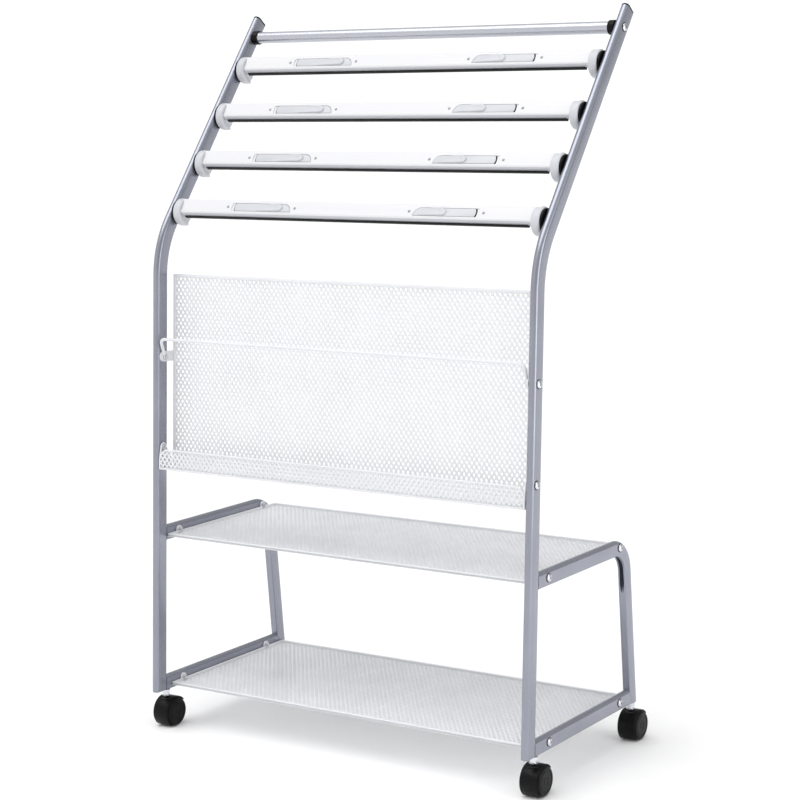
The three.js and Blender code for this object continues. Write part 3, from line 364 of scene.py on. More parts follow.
# %% Bake, cut and soften
def bake(piece):
    """Put the result of the piece's modifiers into a plain mesh."""
    bpy.context.view_layer.update()
    seen = piece.evaluated_get(bpy.context.evaluated_depsgraph_get())
    old, piece.data = piece.data, bpy.data.meshes.new_from_object(seen)
    piece.modifiers.clear()
    bpy.data.meshes.remove(old)
    return piece


def carve(piece, tool, operation="DIFFERENCE"):
    """Cut a piece with another object, which is used up."""
    step = piece.modifiers.new("carve", "BOOLEAN")
    step.operation, step.solver, step.object = operation, "EXACT", tool
    bake(piece)
    bpy.data.objects.remove(tool)
    return shade(piece)


def soften(piece, width, segments=2):
    """Round the sharp edges by a width in millimetres."""
    step = piece.modifiers.new("soften", "BEVEL")
    step.width, step.segments = width * MM, segments
    step.limit_method, step.angle_limit = "ANGLE", SHARP_ANGLE
    return shade(bake(piece))


print("cutting tools ready")

# %% Hang a piece on the frame
def add_on(piece, material, node):
    """Piece that moves with a CAD node, with a given material or its own, without standing for it."""
    if material:
        piece.data.materials.clear()
        piece.data.materials.append(material)
    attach(piece, body_of[node])
    return piece


def dress(piece, material, node):
    """Piece that stands for a CAD node."""
    add_on(piece, material, node)
    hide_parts(node)
    return piece


# %% [markdown]
# ## Geometry Nodes helpers
# Mesh holes, rods, washers and bolts repeat or follow a path, so node trees make them. A tree is built here
# once, with named inputs for its sizes. Each use sets those inputs by the socket's identifier before
# Blender first evaluates the object, then keeps the result as a plain mesh.

# %% Build a tree, use a tree
FLOAT, WHOLE, GEOMETRY = "NodeSocketFloat", "NodeSocketInt", "NodeSocketGeometry"
MATERIAL, OBJECT = "NodeSocketMaterial", "NodeSocketObject"


def new_tree(name, inputs):
    """Empty tree with named inputs, as {name: (socket type, default)}."""
    tree = bpy.data.node_groups.new(name, "GeometryNodeTree")
    for label, (kind, value) in inputs.items():
        socket = tree.interface.new_socket(label, in_out="INPUT", socket_type=kind)
        if value is not None:
            socket.default_value = value
    tree.interface.new_socket("Geometry", in_out="OUTPUT", socket_type=GEOMETRY)
    return tree, tree.nodes.new("NodeGroupInput").outputs, tree.nodes.new("NodeGroupOutput").inputs


def add_node(tree, kind, inputs, **settings):
    """Node with its inputs linked to a socket or set to a value."""
    node = tree.nodes.new(kind)
    for key, value in settings.items():
        setattr(node, key, value)
    for label, value in inputs.items():
        for source in value if isinstance(value, list) else [value]:
            if isinstance(source, bpy.types.NodeSocket):
                tree.links.new(source, node.inputs[label])
            else:
                node.inputs[label].default_value = source
    return node.outputs


def grow(name, tree, seeds=None, **sizes):
    """Object made by a tree from a seed mesh and sizes, as a plain mesh."""
    piece = bpy.data.objects.new(name, seeds or bpy.data.meshes.new(name))
    scene.collection.objects.link(piece)
    step = piece.modifiers.new("grow", "NODES")
    step.node_group = tree
    for socket in tree.interface.items_tree:
        if socket.in_out == "INPUT" and socket.name in sizes:
            step[socket.identifier] = sizes[socket.name]
    return bake(piece)


def end_tree(tree, geometry, sizes, result):
    """Make instances real and set the material, as the last nodes of a tree."""
    whole = add_node(tree, "GeometryNodeRealizeInstances", {"Geometry": geometry})
    painted = add_node(tree, "GeometryNodeSetMaterial",
                       {"Geometry": whole["Geometry"], "Material": sizes["Material"]})
    tree.links.new(painted["Geometry"], result["Geometry"])
    return tree


print("tree helpers ready")

# %% [markdown]
# ## Side frames
# Each side frame is three lengths of D-section steel tube: a flat side, two flanks and a round crown. The
# upright leans back a little, then bends to carry the clips. A sweep along a curve would twist the D and
# round its corners away, so we set cross-sections ourselves: the section is always upright on its path, and
# at a weld it is cut along the face it meets. The path repeats the numbers of the CAD source.

# %% Tube sizes and the D section
TUBE_ACROSS, TUBE_DEPTH, TUBE_WALL, TUBE_CORNER = 12, 22, 1.2, 1.5
OUTER_X = 320
INNER_X = OUTER_X - TUBE_ACROSS
TUBE_X = OUTER_X - TUBE_ACROSS / 2
HALF_DEPTH = TUBE_DEPTH / 2
LEAST_CORNER = 0.4
CROWN_STEPS, CORNER_STEPS, FLAT_STEPS, RIM_STEPS = 20, 4, 16, 3
NO_DENT = (0.0, 0.3)


def d_section(inset=0.0, dent=NO_DENT):
    """D outline as (across, depth), crown at +depth, with a (depth, width share) dent in its flat side."""
    press, width = dent
    half, flat = TUBE_ACROSS / 2 - inset, -HALF_DEPTH + inset
    corner = max(TUBE_CORNER - inset, LEAST_CORNER)
    outline = arc((0, HALF_DEPTH - TUBE_ACROSS / 2), half, 0, 180, CROWN_STEPS)
    outline += arc((-half + corner, flat + corner), corner, 180, 270, CORNER_STEPS)
    rim = [1 - (1 - width) * k / RIM_STEPS for k in range(1, RIM_STEPS)]
    bowl = [width * math.sin(math.pi * (k / FLAT_STEPS - 0.5)) for k in range(FLAT_STEPS + 1)]
    for share in [-s for s in rim] + bowl + rim[::-1]:
        depth = press * math.sqrt(max(1 - (share / width) ** 2, 0))
        outline.append(((half - corner) * share, flat + depth))
    return outline + arc((half - corner, flat + corner), corner, 270, 360, CORNER_STEPS)


def section_ring(centre, tangent, outline, plane=None):
    """Outline set square to a tangent, or slid along it on to a cutting plane."""
    depth = ACROSS.cross(tangent).normalized()
    if plane:
        depth = depth - tangent * (depth.dot(plane) / tangent.dot(plane))
    return [centre + ACROSS * p + depth * q for p, q in outline]


def bend(corner, before, after, radius, steps):
    """Centres and tangents round a bend between two straights that meet at a corner."""
    turn = before.angle(after)
    inward = (after - before * after.dot(before)).normalized()
    hub = corner - before * (radius * math.tan(turn / 2)) + inward * radius
    angles = even_steps(0, turn, steps)
    return [(hub - inward * (radius * math.cos(a)) + before * (radius * math.sin(a)),
             before * math.cos(a) + inward * math.sin(a)) for a in angles]


print("D section of", len(d_section()), "points")

# %% The path of the side frame, in the source's own Y
LOWER_LEAN, UPPER_LEAN, LEG_SPLAY = math.radians(2.8), math.radians(38), math.radians(5.5)
FOOT_HEIGHT, ELBOW_HEIGHT, ELBOW_RADIUS, UPPER_LENGTH = 57, 719, 140, 412
MID_RAIL_HEIGHT, BASE_RAIL_HEIGHT = 294.5, 68
FRAME_DEPTH, REAR_BEND_RADIUS, SEAM_GAP = 305, 40, 0.3
FOOT_ROUND, FOOT_PLUG = 2, 3


def in_yz(y, z):
    return Vector((0, y, z))


def upright_y(z):
    return z * math.tan(LOWER_LEAN)


def leg_y(z):
    return upright_y(FOOT_HEIGHT) + FRAME_DEPTH - (z - FOOT_HEIGHT) * math.tan(LEG_SPLAY)


lower_axis = in_yz(math.sin(LOWER_LEAN), math.cos(LOWER_LEAN))
upper_axis = in_yz(math.sin(UPPER_LEAN), math.cos(UPPER_LEAN))
back_axis = in_yz(1, 0)
leg_axis = in_yz(math.sin(LEG_SPLAY), -math.cos(LEG_SPLAY))
upper_end = in_yz(upright_y(ELBOW_HEIGHT), ELBOW_HEIGHT) + upper_axis * UPPER_LENGTH

# The CAD model is centred on its own box; one stem tells how far its Y was moved
stem_low, stem_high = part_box("caster_rear_left_stem")
centring = shift(y=(stem_low.y + stem_high.y) / 2 / MM - leg_y(FOOT_HEIGHT))
side_place = {name: centring @ shift(side * TUBE_X) for name, side in SIDES.items()}
print("source Y moved by", round(centring.translation.y, 2), "mm")

# %% Uprights
ELBOW_STEPS, ROUND_STEPS = 28, 4


def upright_shape():
    foot = in_yz(upright_y(FOOT_HEIGHT), FOOT_HEIGHT)
    elbow = in_yz(upright_y(ELBOW_HEIGHT), ELBOW_HEIGHT)
    way = bend(elbow, lower_axis, upper_axis, ELBOW_RADIUS, ELBOW_STEPS) + [(upper_end, upper_axis)]

    def low_ring(rise, inset):
        return section_ring(foot + lower_axis * rise, lower_axis, d_section(inset), UP)

    rings = []
    for turn in even_steps(0, math.pi / 2, ROUND_STEPS):
        rings.append(low_ring(FOOT_ROUND * (1 - math.cos(turn)), FOOT_ROUND * (1 - math.sin(turn))))
    rings += [section_ring(c, t, d_section()) for c, t in way]
    rings += [section_ring(c, t, d_section(TUBE_WALL)) for c, t in reversed(way)]
    return loft(rings + [low_ring(FOOT_PLUG, TUBE_WALL)])


for side_name in SIDES:
    piece = solid(f"upright_{side_name}_tube", placed(upright_shape(), side_place[side_name]))
    dress(piece, silver_coat, f"upright_{side_name}")
print("uprights:", len(piece.data.polygons), "faces each")

# %% [markdown]
# ## Rear legs and the pressed bend
# The rear leg runs back from the upright and turns down over a bend tighter than the tube likes. The
# bender's mandrel pushes the flat inner side in, which leaves a long deep crease with a round lower end. A
# boolean cut would open the tube, so we dent the section instead: each ring of the bend gets its own depth
# and width.

# %% The crease
CREASE_DEPTH, CREASE_WIDTH, CREASE_START, CREASE_END = 13, 0.84, 8, 92
CREASE_RAMP, CREASE_TIP, CREASE_ONSET = 13, 18, 0.2
CREASE_NARROW, CREASE_WIDENING, CREASE_LEAST, INNER_WIDER = 0.36, 0.6, 0.06, 1.12


def crease(run):
    """Depth and width of the crease at a distance along the tube from the start of the bend."""
    if run <= CREASE_START:
        return NO_DENT
    share = (run - CREASE_START) / (CREASE_END - CREASE_START)
    tip = math.sqrt(max(1 - max(1 - (CREASE_END - run) / CREASE_TIP, 0) ** 2, 0))
    width = CREASE_WIDTH * (CREASE_NARROW + (1 - CREASE_NARROW) * share ** CREASE_WIDENING) * tip
    onset = math.sqrt(min(share / CREASE_ONSET, 1))
    fade = max(min((CREASE_END - run) / CREASE_RAMP, 1), 0)
    return CREASE_DEPTH * onset * fade, max(width, CREASE_LEAST)


print("crease from", CREASE_START, "to", CREASE_END, "mm along the bend")

# %% Rear legs and base rails
REAR_BEND_STEPS, TAIL_STEPS = 30, 24


def upright_seam(height):
    """Where a rail meets the back of the upright, and the plane it is cut along."""
    seam_y = upright_y(height) + (HALF_DEPTH + SEAM_GAP) / math.cos(LOWER_LEAN)
    return in_yz(seam_y, height), in_yz(math.cos(LOWER_LEAN), -math.sin(LOWER_LEAN))


def rear_leg_shape():
    corner = in_yz(leg_y(MID_RAIL_HEIGHT), MID_RAIL_HEIGHT)
    seam, seam_plane = upright_seam(MID_RAIL_HEIGHT)
    arc_length = REAR_BEND_RADIUS * back_axis.angle(leg_axis)
    way = [(seam, back_axis, seam_plane, NO_DENT)]
    for k, (c, t) in enumerate(bend(corner, back_axis, leg_axis, REAR_BEND_RADIUS, REAR_BEND_STEPS)):
        way.append((c, t, None, crease(arc_length * k / REAR_BEND_STEPS)))
    bend_end = way[-1][0]
    for turn in even_steps(0, math.pi / 2, TAIL_STEPS)[1:]:
        run = (CREASE_END - arc_length) * math.sin(turn)
        way.append((bend_end + leg_axis * run, leg_axis, None, crease(arc_length + run)))
    foot = in_yz(leg_y(FOOT_HEIGHT), FOOT_HEIGHT)
    outer = way + [(foot, leg_axis, UP, (0.0, CREASE_LEAST))]
    inner = way + [(foot - leg_axis * FOOT_PLUG, leg_axis, UP, (0.0, CREASE_LEAST))]
    rings = [section_ring(c, t, d_section(TUBE_WALL, (press, width * INNER_WIDER)), plane)
             for c, t, plane, (press, width) in reversed(inner)]
    return loft(rings + [section_ring(c, t, d_section(0, dent), plane) for c, t, plane, dent in outer])


def base_rail_shape():
    rear_plane = in_yz(math.cos(LEG_SPLAY), math.sin(LEG_SPLAY))
    rear_y = leg_y(BASE_RAIL_HEIGHT) - (HALF_DEPTH + SEAM_GAP) / math.cos(LEG_SPLAY)
    ends = [upright_seam(BASE_RAIL_HEIGHT), (in_yz(rear_y, BASE_RAIL_HEIGHT), rear_plane)]
    outer = [section_ring(c, back_axis, d_section(), plane) for c, plane in ends]
    inner = [section_ring(c, back_axis, d_section(TUBE_WALL), plane) for c, plane in reversed(ends)]
    return loft(outer + inner, loop=True)


for side_name in SIDES:
    piece = solid(f"rear_leg_{side_name}_tube", placed(rear_leg_shape(), side_place[side_name]))
    dress(piece, silver_coat, f"rear_leg_{side_name}")
    rail = solid(f"base_rail_{side_name}_tube", placed(base_rail_shape(), side_place[side_name]))
    dress(rail, silver_coat, f"base_rail_{side_name}")
print("rear legs:", len(piece.data.polygons), "faces each")

# %% [markdown]
# ## Caps, crossbar and collars
# A black plastic cap with a domed edge closes each upright, and a round tube joins the two frames just
# below, held in black collars. These are lofts and lathes: the cap uses the D section again, shrunk ring by
# ring, which gives the soft edge that a plain extruded lid would lack.

# %% Caps, crossbar and collars
# Rings of a cap from its plug to its top, as (height over the tube's end, inset)
CAP_RINGS = [(-12, 1.5), (0.3, 1.5), (0.3, 0.5), (0.5, 0.15), (0.8, 0.0), (2.0, 0.0), (2.5, 0.2),
             (2.85, 0.7), (3.05, 1.6), (3.1, 2.6)]
CROSSBAR_DROP, CROSSBAR_RADIUS, CROSSBAR_HALF, CROSSBAR_WALL, CROSSBAR_EDGE = 31, 8.5, 304, 1.2, 0.3
COLLAR_RADIUS, COLLAR_SOCKET, COLLAR_LENGTH, COLLAR_FLOOR, COLLAR_EDGE = 10.3, 8.8, 10, 3.7, 0.4
# Round edge of a collar's mouth, as (inset, depth)
COLLAR_MOUTH = [(0.7, 0.0), (0.2, 0.3), (0.0, 0.9)]
crossbar_centre = upper_end - upper_axis * CROSSBAR_DROP
turn_to_x = place_matrix(Vector((0, 1, 0)), UP, ACROSS, Vector((0, 0, 0)))


def turn_to_side(side):
    """Turn that lays Z along +X or -X."""
    return turn_to_x if side > 0 else Matrix.Rotation(math.pi, 4, "Z") @ turn_to_x


cap_shape = loft([section_ring(upper_end + upper_axis * rise, upper_axis, d_section(inset))
                  for rise, inset in CAP_RINGS])
collar_profile = [(0, -COLLAR_FLOOR), (COLLAR_SOCKET, -COLLAR_FLOOR), (COLLAR_SOCKET, -COLLAR_LENGTH)]
collar_profile += [(COLLAR_RADIUS - inset, depth - COLLAR_LENGTH) for inset, depth in COLLAR_MOUTH]
collar_profile += [(COLLAR_RADIUS, -SEAM_GAP - COLLAR_EDGE), (COLLAR_RADIUS - COLLAR_EDGE, -SEAM_GAP),
                   (0, -SEAM_GAP)]
for side_name, side in SIDES.items():
    cap = solid(f"upright_{side_name}_cap", placed(cap_shape, side_place[side_name]))
    dress(cap, black_plastic, f"upright_cap_{side_name}")
    seat = centring @ Matrix.Translation(crossbar_centre + ACROSS * (side * INNER_X)) @ turn_to_side(side)
    collar = solid(f"crossbar_{side_name}_collar", placed(lathe(collar_profile), seat))
    dress(collar, black_plastic, f"crossbar_collar_{side_name}")

bar_bore, bar_edge = CROSSBAR_RADIUS - CROSSBAR_WALL, CROSSBAR_HALF - CROSSBAR_EDGE
bar_profile = [(bar_bore, -CROSSBAR_HALF), (CROSSBAR_RADIUS - CROSSBAR_EDGE, -CROSSBAR_HALF),
               (CROSSBAR_RADIUS, -bar_edge), (CROSSBAR_RADIUS, bar_edge),
               (CROSSBAR_RADIUS - CROSSBAR_EDGE, CROSSBAR_HALF), (bar_bore, CROSSBAR_HALF)]
bar_place = centring @ Matrix.Translation(crossbar_centre) @ turn_to_x
bar = solid("crossbar_tube", placed(lathe(bar_profile, segments=56, loop=True), bar_place))
dress(bar, crossbar_coat, "top_crossbar")
print("crossbar", 2 * CROSSBAR_HALF, "mm long")

# %% [markdown]
# ## Newspaper clips
# A clip is a white extruded rail with a rounded nose, a black jaw hinged behind it, and two sliding catches
# in windows of its face. We work in the clip's own frame, with y back from the face and z up along it, and
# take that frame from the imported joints: the jaw's hinge gives the place and the lift gives the direction.

# %% The clip's own frame
HINGE_BACK, HINGE_DROP = 10.3, 2
CLIP_HALF, JAW_HALF, CLIP_NUMBERS = 297, 286, (1, 2, 3, 4)


def clip_place(number):
    hinge = Vector(joints[f"clip_{number}_jaw_hinge"]["pos_m"]) / MM
    up = Vector(joints[f"clip_{number}_lift"]["axis"]).normalized()
    back = up.cross(ACROSS)
    return place_matrix(ACROSS, back, up, hinge - back * HINGE_BACK + up * HINGE_DROP)


print("first clip at", [round(v, 1) for v in clip_place(1).translation])

# %% Rail section
RAIL_DEPTH, RAIL_WALL, RAIL_EDGE, RAIL_ROUND = 8.1, 2.2, 0.4, 1.3
NOSE_RADIUS, NOSE_DROP, NOSE_END, LIP_RUN = 4.7, 19, 260, 4


def lip_point(inset):
    """End of the lip, on the outer or inner surface."""
    angle = math.radians(NOSE_END)
    radius = NOSE_RADIUS - inset
    return (NOSE_RADIUS + radius * math.cos(angle) - LIP_RUN * math.sin(angle),
            -NOSE_DROP + radius * math.sin(angle) + LIP_RUN * math.cos(angle))


def rail_outline():
    """Section of the rail as (y, z): a top edge, a flat face, a round nose and the lip under it."""
    nose = (NOSE_RADIUS, -NOSE_DROP)
    outline = [(RAIL_DEPTH, -RAIL_WALL), (RAIL_DEPTH, -RAIL_EDGE), (RAIL_DEPTH - RAIL_EDGE, 0)]
    outline += arc((RAIL_ROUND, -RAIL_ROUND), RAIL_ROUND, 90, 180, steps=5)
    outline += arc(nose, NOSE_RADIUS, 180, NOSE_END, steps=18) + [lip_point(0), lip_point(RAIL_WALL)]
    outline += arc(nose, NOSE_RADIUS - RAIL_WALL, NOSE_END, 180, steps=10)
    return outline + [(RAIL_WALL, -RAIL_WALL)]


print("rail section of", len(rail_outline()), "points")

# %% Windows of the catches
WINDOW_LOW, WINDOW_HIGH = -18.2, -5.2
WINDOW_GAP, CATCH_TRAVEL, WINDOW_SWEEP, WINDOW_BOW, WINDOW_STEPS = 0.6, 5, 13, 1.6, 8


def end_curve(x, hand, low, high):
    """Gently curved end of a window, from its lower to its upper edge."""
    return [(x - hand * WINDOW_BOW * (2 * share - 1) ** 2, low + (high - low) * share)
            for share in even_steps(0, 1, WINDOW_STEPS)]


def window_outline(inner, outer, low, high):
    """Window of a catch as (x, z), on either hand: a gently curved outer end and a swept inner end."""
    hand = 1 if outer > inner else -1
    swept = [(inner + hand * WINDOW_SWEEP * (1 - math.sin(a)), low + (high - low) * math.cos(a))
             for a in even_steps(0, math.pi / 2, WINDOW_STEPS)]
    return end_curve(outer, hand, low, high) + swept


def from_front(outline, y0, y1):
    """Outline of (x, z) pushed along Y."""
    return loft([[(x, y, z) for x, z in outline] for y in (y0, y1)])


catch_ends = {}
for side_name, side in SIDES.items():
    low, high = (v.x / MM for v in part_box(f"clip_1_catch_{side_name}"))
    catch_ends[side_name] = (low, high) if side > 0 else (high, low)
print("rail windows at", {name: [round(v, 1) for v in ends] for name, ends in catch_ends.items()})

# %% Rails
# Faces of the rail below this height, under the nose, get the painted shade.
PAINTED_SHADE_BELOW = -21.9
CUTTER_FRONT, CUTTER_BACK = -3, 4
STOP_GAP, STOP_FRONT, STOP_BACK, STOP_REACH, STOP_MARGIN = 1.6, 1.05, 2, 3, 1
stop_low, stop_high = WINDOW_LOW - STOP_MARGIN, WINDOW_HIGH + STOP_MARGIN
rail_shape = along_x(rail_outline(), -CLIP_HALF, CLIP_HALF)
for number in CLIP_NUMBERS:
    place = clip_place(number)
    rail = solid(f"clip_{number}_rail_profile", placed(rail_shape, place))
    for side_name, side in SIDES.items():
        inner, outer = catch_ends[side_name]
        opening = window_outline(inner - side * WINDOW_GAP, outer + side * (CATCH_TRAVEL + WINDOW_GAP),
                                 WINDOW_LOW, WINDOW_HIGH)
        cutter = from_front(opening, CUTTER_FRONT, CUTTER_BACK)
        carve(rail, solid("window_cutter", placed(cutter, place)))
        # A plate behind the window's outer end shows in the gap that the catch slides into
        stop_end = outer + side * (CATCH_TRAVEL + STOP_REACH)
        stop = end_curve(outer + side * STOP_GAP, side, stop_low, stop_high)
        stop += [(stop_end, stop_high), (stop_end, stop_low)]
        stop_plate = placed(from_front(stop, STOP_FRONT, STOP_BACK), place)
        add_on(solid(f"clip_{number}_stop_{side_name}", stop_plate), clip_white, f"clip_{number}_rail")
    dress(rail, clip_white, f"clip_{number}_rail")
    # The faces under the nose take the greyer material: painted shade on the rail's underside.
    rail.data.materials.append(clip_lip_painted_shade)
    to_clip = place.inverted()
    for face in rail.data.polygons:
        face.material_index = 1 if (to_clip @ (face.center / MM)).z < PAINTED_SHADE_BELOW else 0
print("rails:", len(rail.data.polygons), "faces each")

# %% [markdown]
# ## Jaws and catches
# The jaw is one black strip: a hinge bead, a flat back and a gripping foot under the rail's lip. Each catch
# is a thin plate that fills its window, with a leaf-shaped thumb pad on it: a long tail, a round end and a
# dished spot for the thumb. The pad is a stack of shrinking outlines that rise from the tail, and a large
# ball presses the dish.

# %% Jaws
JAW_KNUCKLE, JAW_THICK, JAW_FOOT_FRONT = 1.9, 1.8, 5.4
GRIP_GAP, JAW_FOOT_THICK, JAW_FOOT_EDGE, SMALL_EDGE = 0.7, 1.0, 0.8, 0.25
JAW_FOOT_TOP = lip_point(0)[1] - GRIP_GAP


def jaw_outline():
    front, back = HINGE_BACK - JAW_THICK / 2, HINGE_BACK + JAW_THICK / 2
    neck = math.degrees(math.asin(JAW_THICK / 2 / JAW_KNUCKLE))
    bead = arc((HINGE_BACK, -HINGE_DROP), JAW_KNUCKLE, neck - 90, 270 - neck, steps=18)
    foot = JAW_FOOT_TOP - JAW_FOOT_THICK
    return bead + [(front, JAW_FOOT_TOP), (JAW_FOOT_FRONT, JAW_FOOT_TOP),
                   (JAW_FOOT_FRONT, foot + JAW_FOOT_EDGE), (JAW_FOOT_FRONT + JAW_FOOT_EDGE, foot),
                   (back, foot)]


jaw_shape = along_x(jaw_outline(), -JAW_HALF, JAW_HALF)
for number in CLIP_NUMBERS:
    jaw = solid(f"clip_{number}_jaw_strip", placed(jaw_shape, clip_place(number)))
    dress(soften(jaw, SMALL_EDGE, segments=1), black_plastic, f"clip_{number}_jaw")
print("jaw foot", round(-JAW_FOOT_TOP, 2), "mm below the rail's upper edge")

# %% Thumb pads
PLATE_BACK, PLATE_FRONT, PAD_RISE, PAD_SUNK = 0.9, -0.2, 2.6, 0.3
PAD_LENGTH, PAD_TAIL, PAD_ROUND, PAD_POINT, PAD_MARGIN = 46, 25, 7, 0.6, 0.9
PAD_HUB, PAD_SHRINK_X, PAD_SHRINK_Z, TAIL_LEAST = 0.6, 20, 5.5, 0.12
# Rings of a pad as (inset, share of its rise)
PAD_RINGS = [(0.0, 0.0), (0.25, 0.55), (0.45, 0.82), (0.8, 0.96), (1.5, 1.0)]
window_middle = (WINDOW_LOW + WINDOW_HIGH) / 2


def pad_outline(start):
    """Leaf of the thumb pad as (x, z): pointed tail at -X, round end at +X."""
    low, high = WINDOW_LOW + PAD_MARGIN, WINDOW_HIGH - PAD_MARGIN
    round_x = start + PAD_LENGTH - PAD_ROUND
    outline = [(start + PAD_POINT, low)]
    outline += [(round_x + PAD_ROUND * math.sin(a), low + (high - low) * (1 - math.cos(a)) / 2)
                for a in even_steps(0, math.pi, steps=14)[1:-1]]
    outline += [(start + PAD_TAIL * (1 - math.sin(a)), low + (high - low) * math.cos(a))
                for a in even_steps(0, math.pi / 2, steps=10)[:-1]]
    return outline


def pad_shape(start):
    outline = pad_outline(start)
    hub = Vector((start + PAD_LENGTH * PAD_HUB, window_middle))
    rings = [[(x, PLATE_BACK - PAD_SUNK, z) for x, z in outline]]
    for inset, share in PAD_RINGS:
        ring = []
        for x, z in outline:
            shrunk = hub + Vector(((x - hub.x) * (1 - inset / PAD_SHRINK_X),
                                   (z - hub.y) * (1 - inset / PAD_SHRINK_Z)))
            rise = PAD_RISE * min(max((shrunk.x - start) / PAD_TAIL, TAIL_LEAST), 1)
            ring.append((shrunk.x, PLATE_FRONT - rise * share, shrunk.y))
        rings.append(ring)
    return loft(rings)


print("thumb pad outline of", len(pad_outline(0)), "points")

# %% Catches
PAD_START = {"left": -158, "right": 113.4}
DISH_PLACE, DISH_RADIUS, DISH_DEPTH = 35.5, 4.8, 0.9
# The shank behind a catch and its foot inside the rail, as (length, height, front)
SHANK_BLOCKS, SHANK_BACK = [(10, 5, 0.5), (16, 9, 2.5)], 3.7


def box_shape(x0, x1, y0, y1, z0, z1):
    return loft([[(x, y0, z0), (x, y1, z0), (x, y1, z1), (x, y0, z1)] for x in (x0, x1)])


def ball_shape(radius, segments=48, bands=24):
    turns = even_steps(0, math.pi, bands)
    return lathe([(radius * math.sin(a), -radius * math.cos(a)) for a in turns], segments)


dish_ball = (DISH_RADIUS ** 2 + DISH_DEPTH ** 2) / (2 * DISH_DEPTH)
dish_y = PLATE_FRONT - PAD_RISE + DISH_DEPTH - dish_ball
for number in CLIP_NUMBERS:
    place = clip_place(number)
    for side_name, side in SIDES.items():
        start = PAD_START[side_name]
        thumb = solid("thumb_pad", placed(pad_shape(start), place))
        dish = place @ shift(start + DISH_PLACE, dish_y, window_middle)
        carve(thumb, solid("dish_ball", placed(ball_shape(dish_ball), dish)))
        plate = window_outline(*catch_ends[side_name], WINDOW_LOW + WINDOW_GAP, WINDOW_HIGH - WINDOW_GAP)
        plate = placed(from_front(plate, PLATE_BACK, PLATE_FRONT), place)
        catch = soften(solid(f"clip_{number}_catch_{side_name}_slider", plate), SMALL_EDGE)
        middle = start + PAD_LENGTH / 2
        for length, height, front in SHANK_BLOCKS:
            block = box_shape(middle - length / 2, middle + length / 2, front, SHANK_BACK,
                              window_middle - height / 2, window_middle + height / 2)
            carve(catch, solid("shank", placed(block, place)), "UNION")
        carve(catch, thumb, "UNION")
        dress(catch, pale_plastic, f"clip_{number}_catch_{side_name}")
print("catches:", len(catch.data.polygons), "faces each")

# %% [markdown]
# ## Cradles
# The clips lie in thick pale discs on the inner faces of the uprights, each held off the tube by a black
# washer nearly as wide as the disc, whose black is also painted shade for the gap between disc and tube.
# A lathe gives the disc its rounded rim, and the rail's own outline, a little larger, cuts the mouth that
# the clip lifts out of.

# %% Cradles
CRADLE_RADIUS, CRADLE_FACE_X, CRADLE_BACK_X, CRADLE_SEAT_X = 20, 291.5, 304.5, 307.7
CRADLE_AFT, CRADLE_BELOW, CRADLE_BOSS, CRADLE_ROUND, CRADLE_EDGE = 15, 14, 7, 3.2, 0.5
MOUTH_PLAY, MOUTH_FORE, MOUTH_END_X, PAST = 0.4, 2, 300, 60
WASHER_RADIUS, WASHER_X, WASHER_EDGE, SEAT_GAP = 17.8, 304.6, 0.4, 0.2
cradle_seat = shift(y=CRADLE_AFT, z=-CRADLE_BELOW) @ turn_to_x
washer_end = CRADLE_SEAT_X - SEAT_GAP
# The washer's wide black ring is partly a real washer and partly painted shade in the gap behind the disc.
washer_and_shade_profile = [(CRADLE_BOSS, WASHER_X), (WASHER_RADIUS - WASHER_EDGE, WASHER_X),
                  (WASHER_RADIUS, WASHER_X + WASHER_EDGE), (WASHER_RADIUS, washer_end),
                  (CRADLE_BOSS, washer_end)]
washer_and_shade_shape = placed(lathe(washer_and_shade_profile, segments=40, loop=True), cradle_seat)


def cradle_shape():
    rim = CRADLE_RADIUS - CRADLE_ROUND
    profile = [(0, CRADLE_FACE_X)]
    profile += arc((rim, CRADLE_FACE_X + CRADLE_ROUND), CRADLE_ROUND, -90, 0, steps=6)
    profile += arc((rim, CRADLE_BACK_X - CRADLE_ROUND), CRADLE_ROUND, 0, 90, steps=6)
    profile += [(CRADLE_BOSS, CRADLE_BACK_X), (CRADLE_BOSS, CRADLE_SEAT_X), (0, CRADLE_SEAT_X)]
    return placed(lathe(profile, segments=56), cradle_seat)


def mouth_outline():
    radius = NOSE_RADIUS + MOUTH_PLAY
    nose = arc((NOSE_RADIUS, -NOSE_DROP), radius, 180, NOSE_END, steps=12)
    slope = math.radians(NOSE_END)
    ledge = (nose[-1][0] - PAST * math.sin(slope), nose[-1][1] + PAST * math.cos(slope))
    return [(-MOUTH_PLAY, PAST)] + nose + [ledge, (ledge[0], PAST)]


for number in CLIP_NUMBERS:
    place = clip_place(number)
    for side_name, side in SIDES.items():
        hand = place @ Matrix.Scale(side, 4, ACROSS)
        cradle = solid(f"clip_{number}_cradle_{side_name}_disc", placed(cradle_shape(), hand))
        mouth = along_x(mouth_outline(), CRADLE_FACE_X - MOUTH_FORE, MOUTH_END_X)
        carve(cradle, solid("mouth_cutter", placed(mouth, hand)))
        dress(soften(cradle, CRADLE_EDGE), pale_plastic, f"clip_{number}_cradle_{side_name}")
        # Black washer behind the disc: its black is also painted shade for the gap to the tube.
        washer = solid(f"clip_{number}_washer_{side_name}", placed(washer_and_shade_shape, hand))
        add_on(washer, black_plastic, f"clip_{number}_cradle_{side_name}")
print("cradles:", len(cradle.data.polygons), "faces each")

# %% [markdown]
# ## Expanded mesh
# The shelves, the trough and the pocket's back are steel sheet that was slit and pulled open into thousands
# of small diamonds. Modelling one hole at a time is hopeless, and an alpha texture would be flat, so a node
# tree does it. One diamond frame of four faces is instanced on two staggered grids; merging its neighbours
# gives a sheet one face thick, and an extrusion with a flipped copy below closes it.

# %% The expanded mesh tree
DIAMOND_X, DIAMOND_Y, OPENING, MESH_THICK = 7.8, 10.7, 0.67, 1.2
MERGE = 1e-5


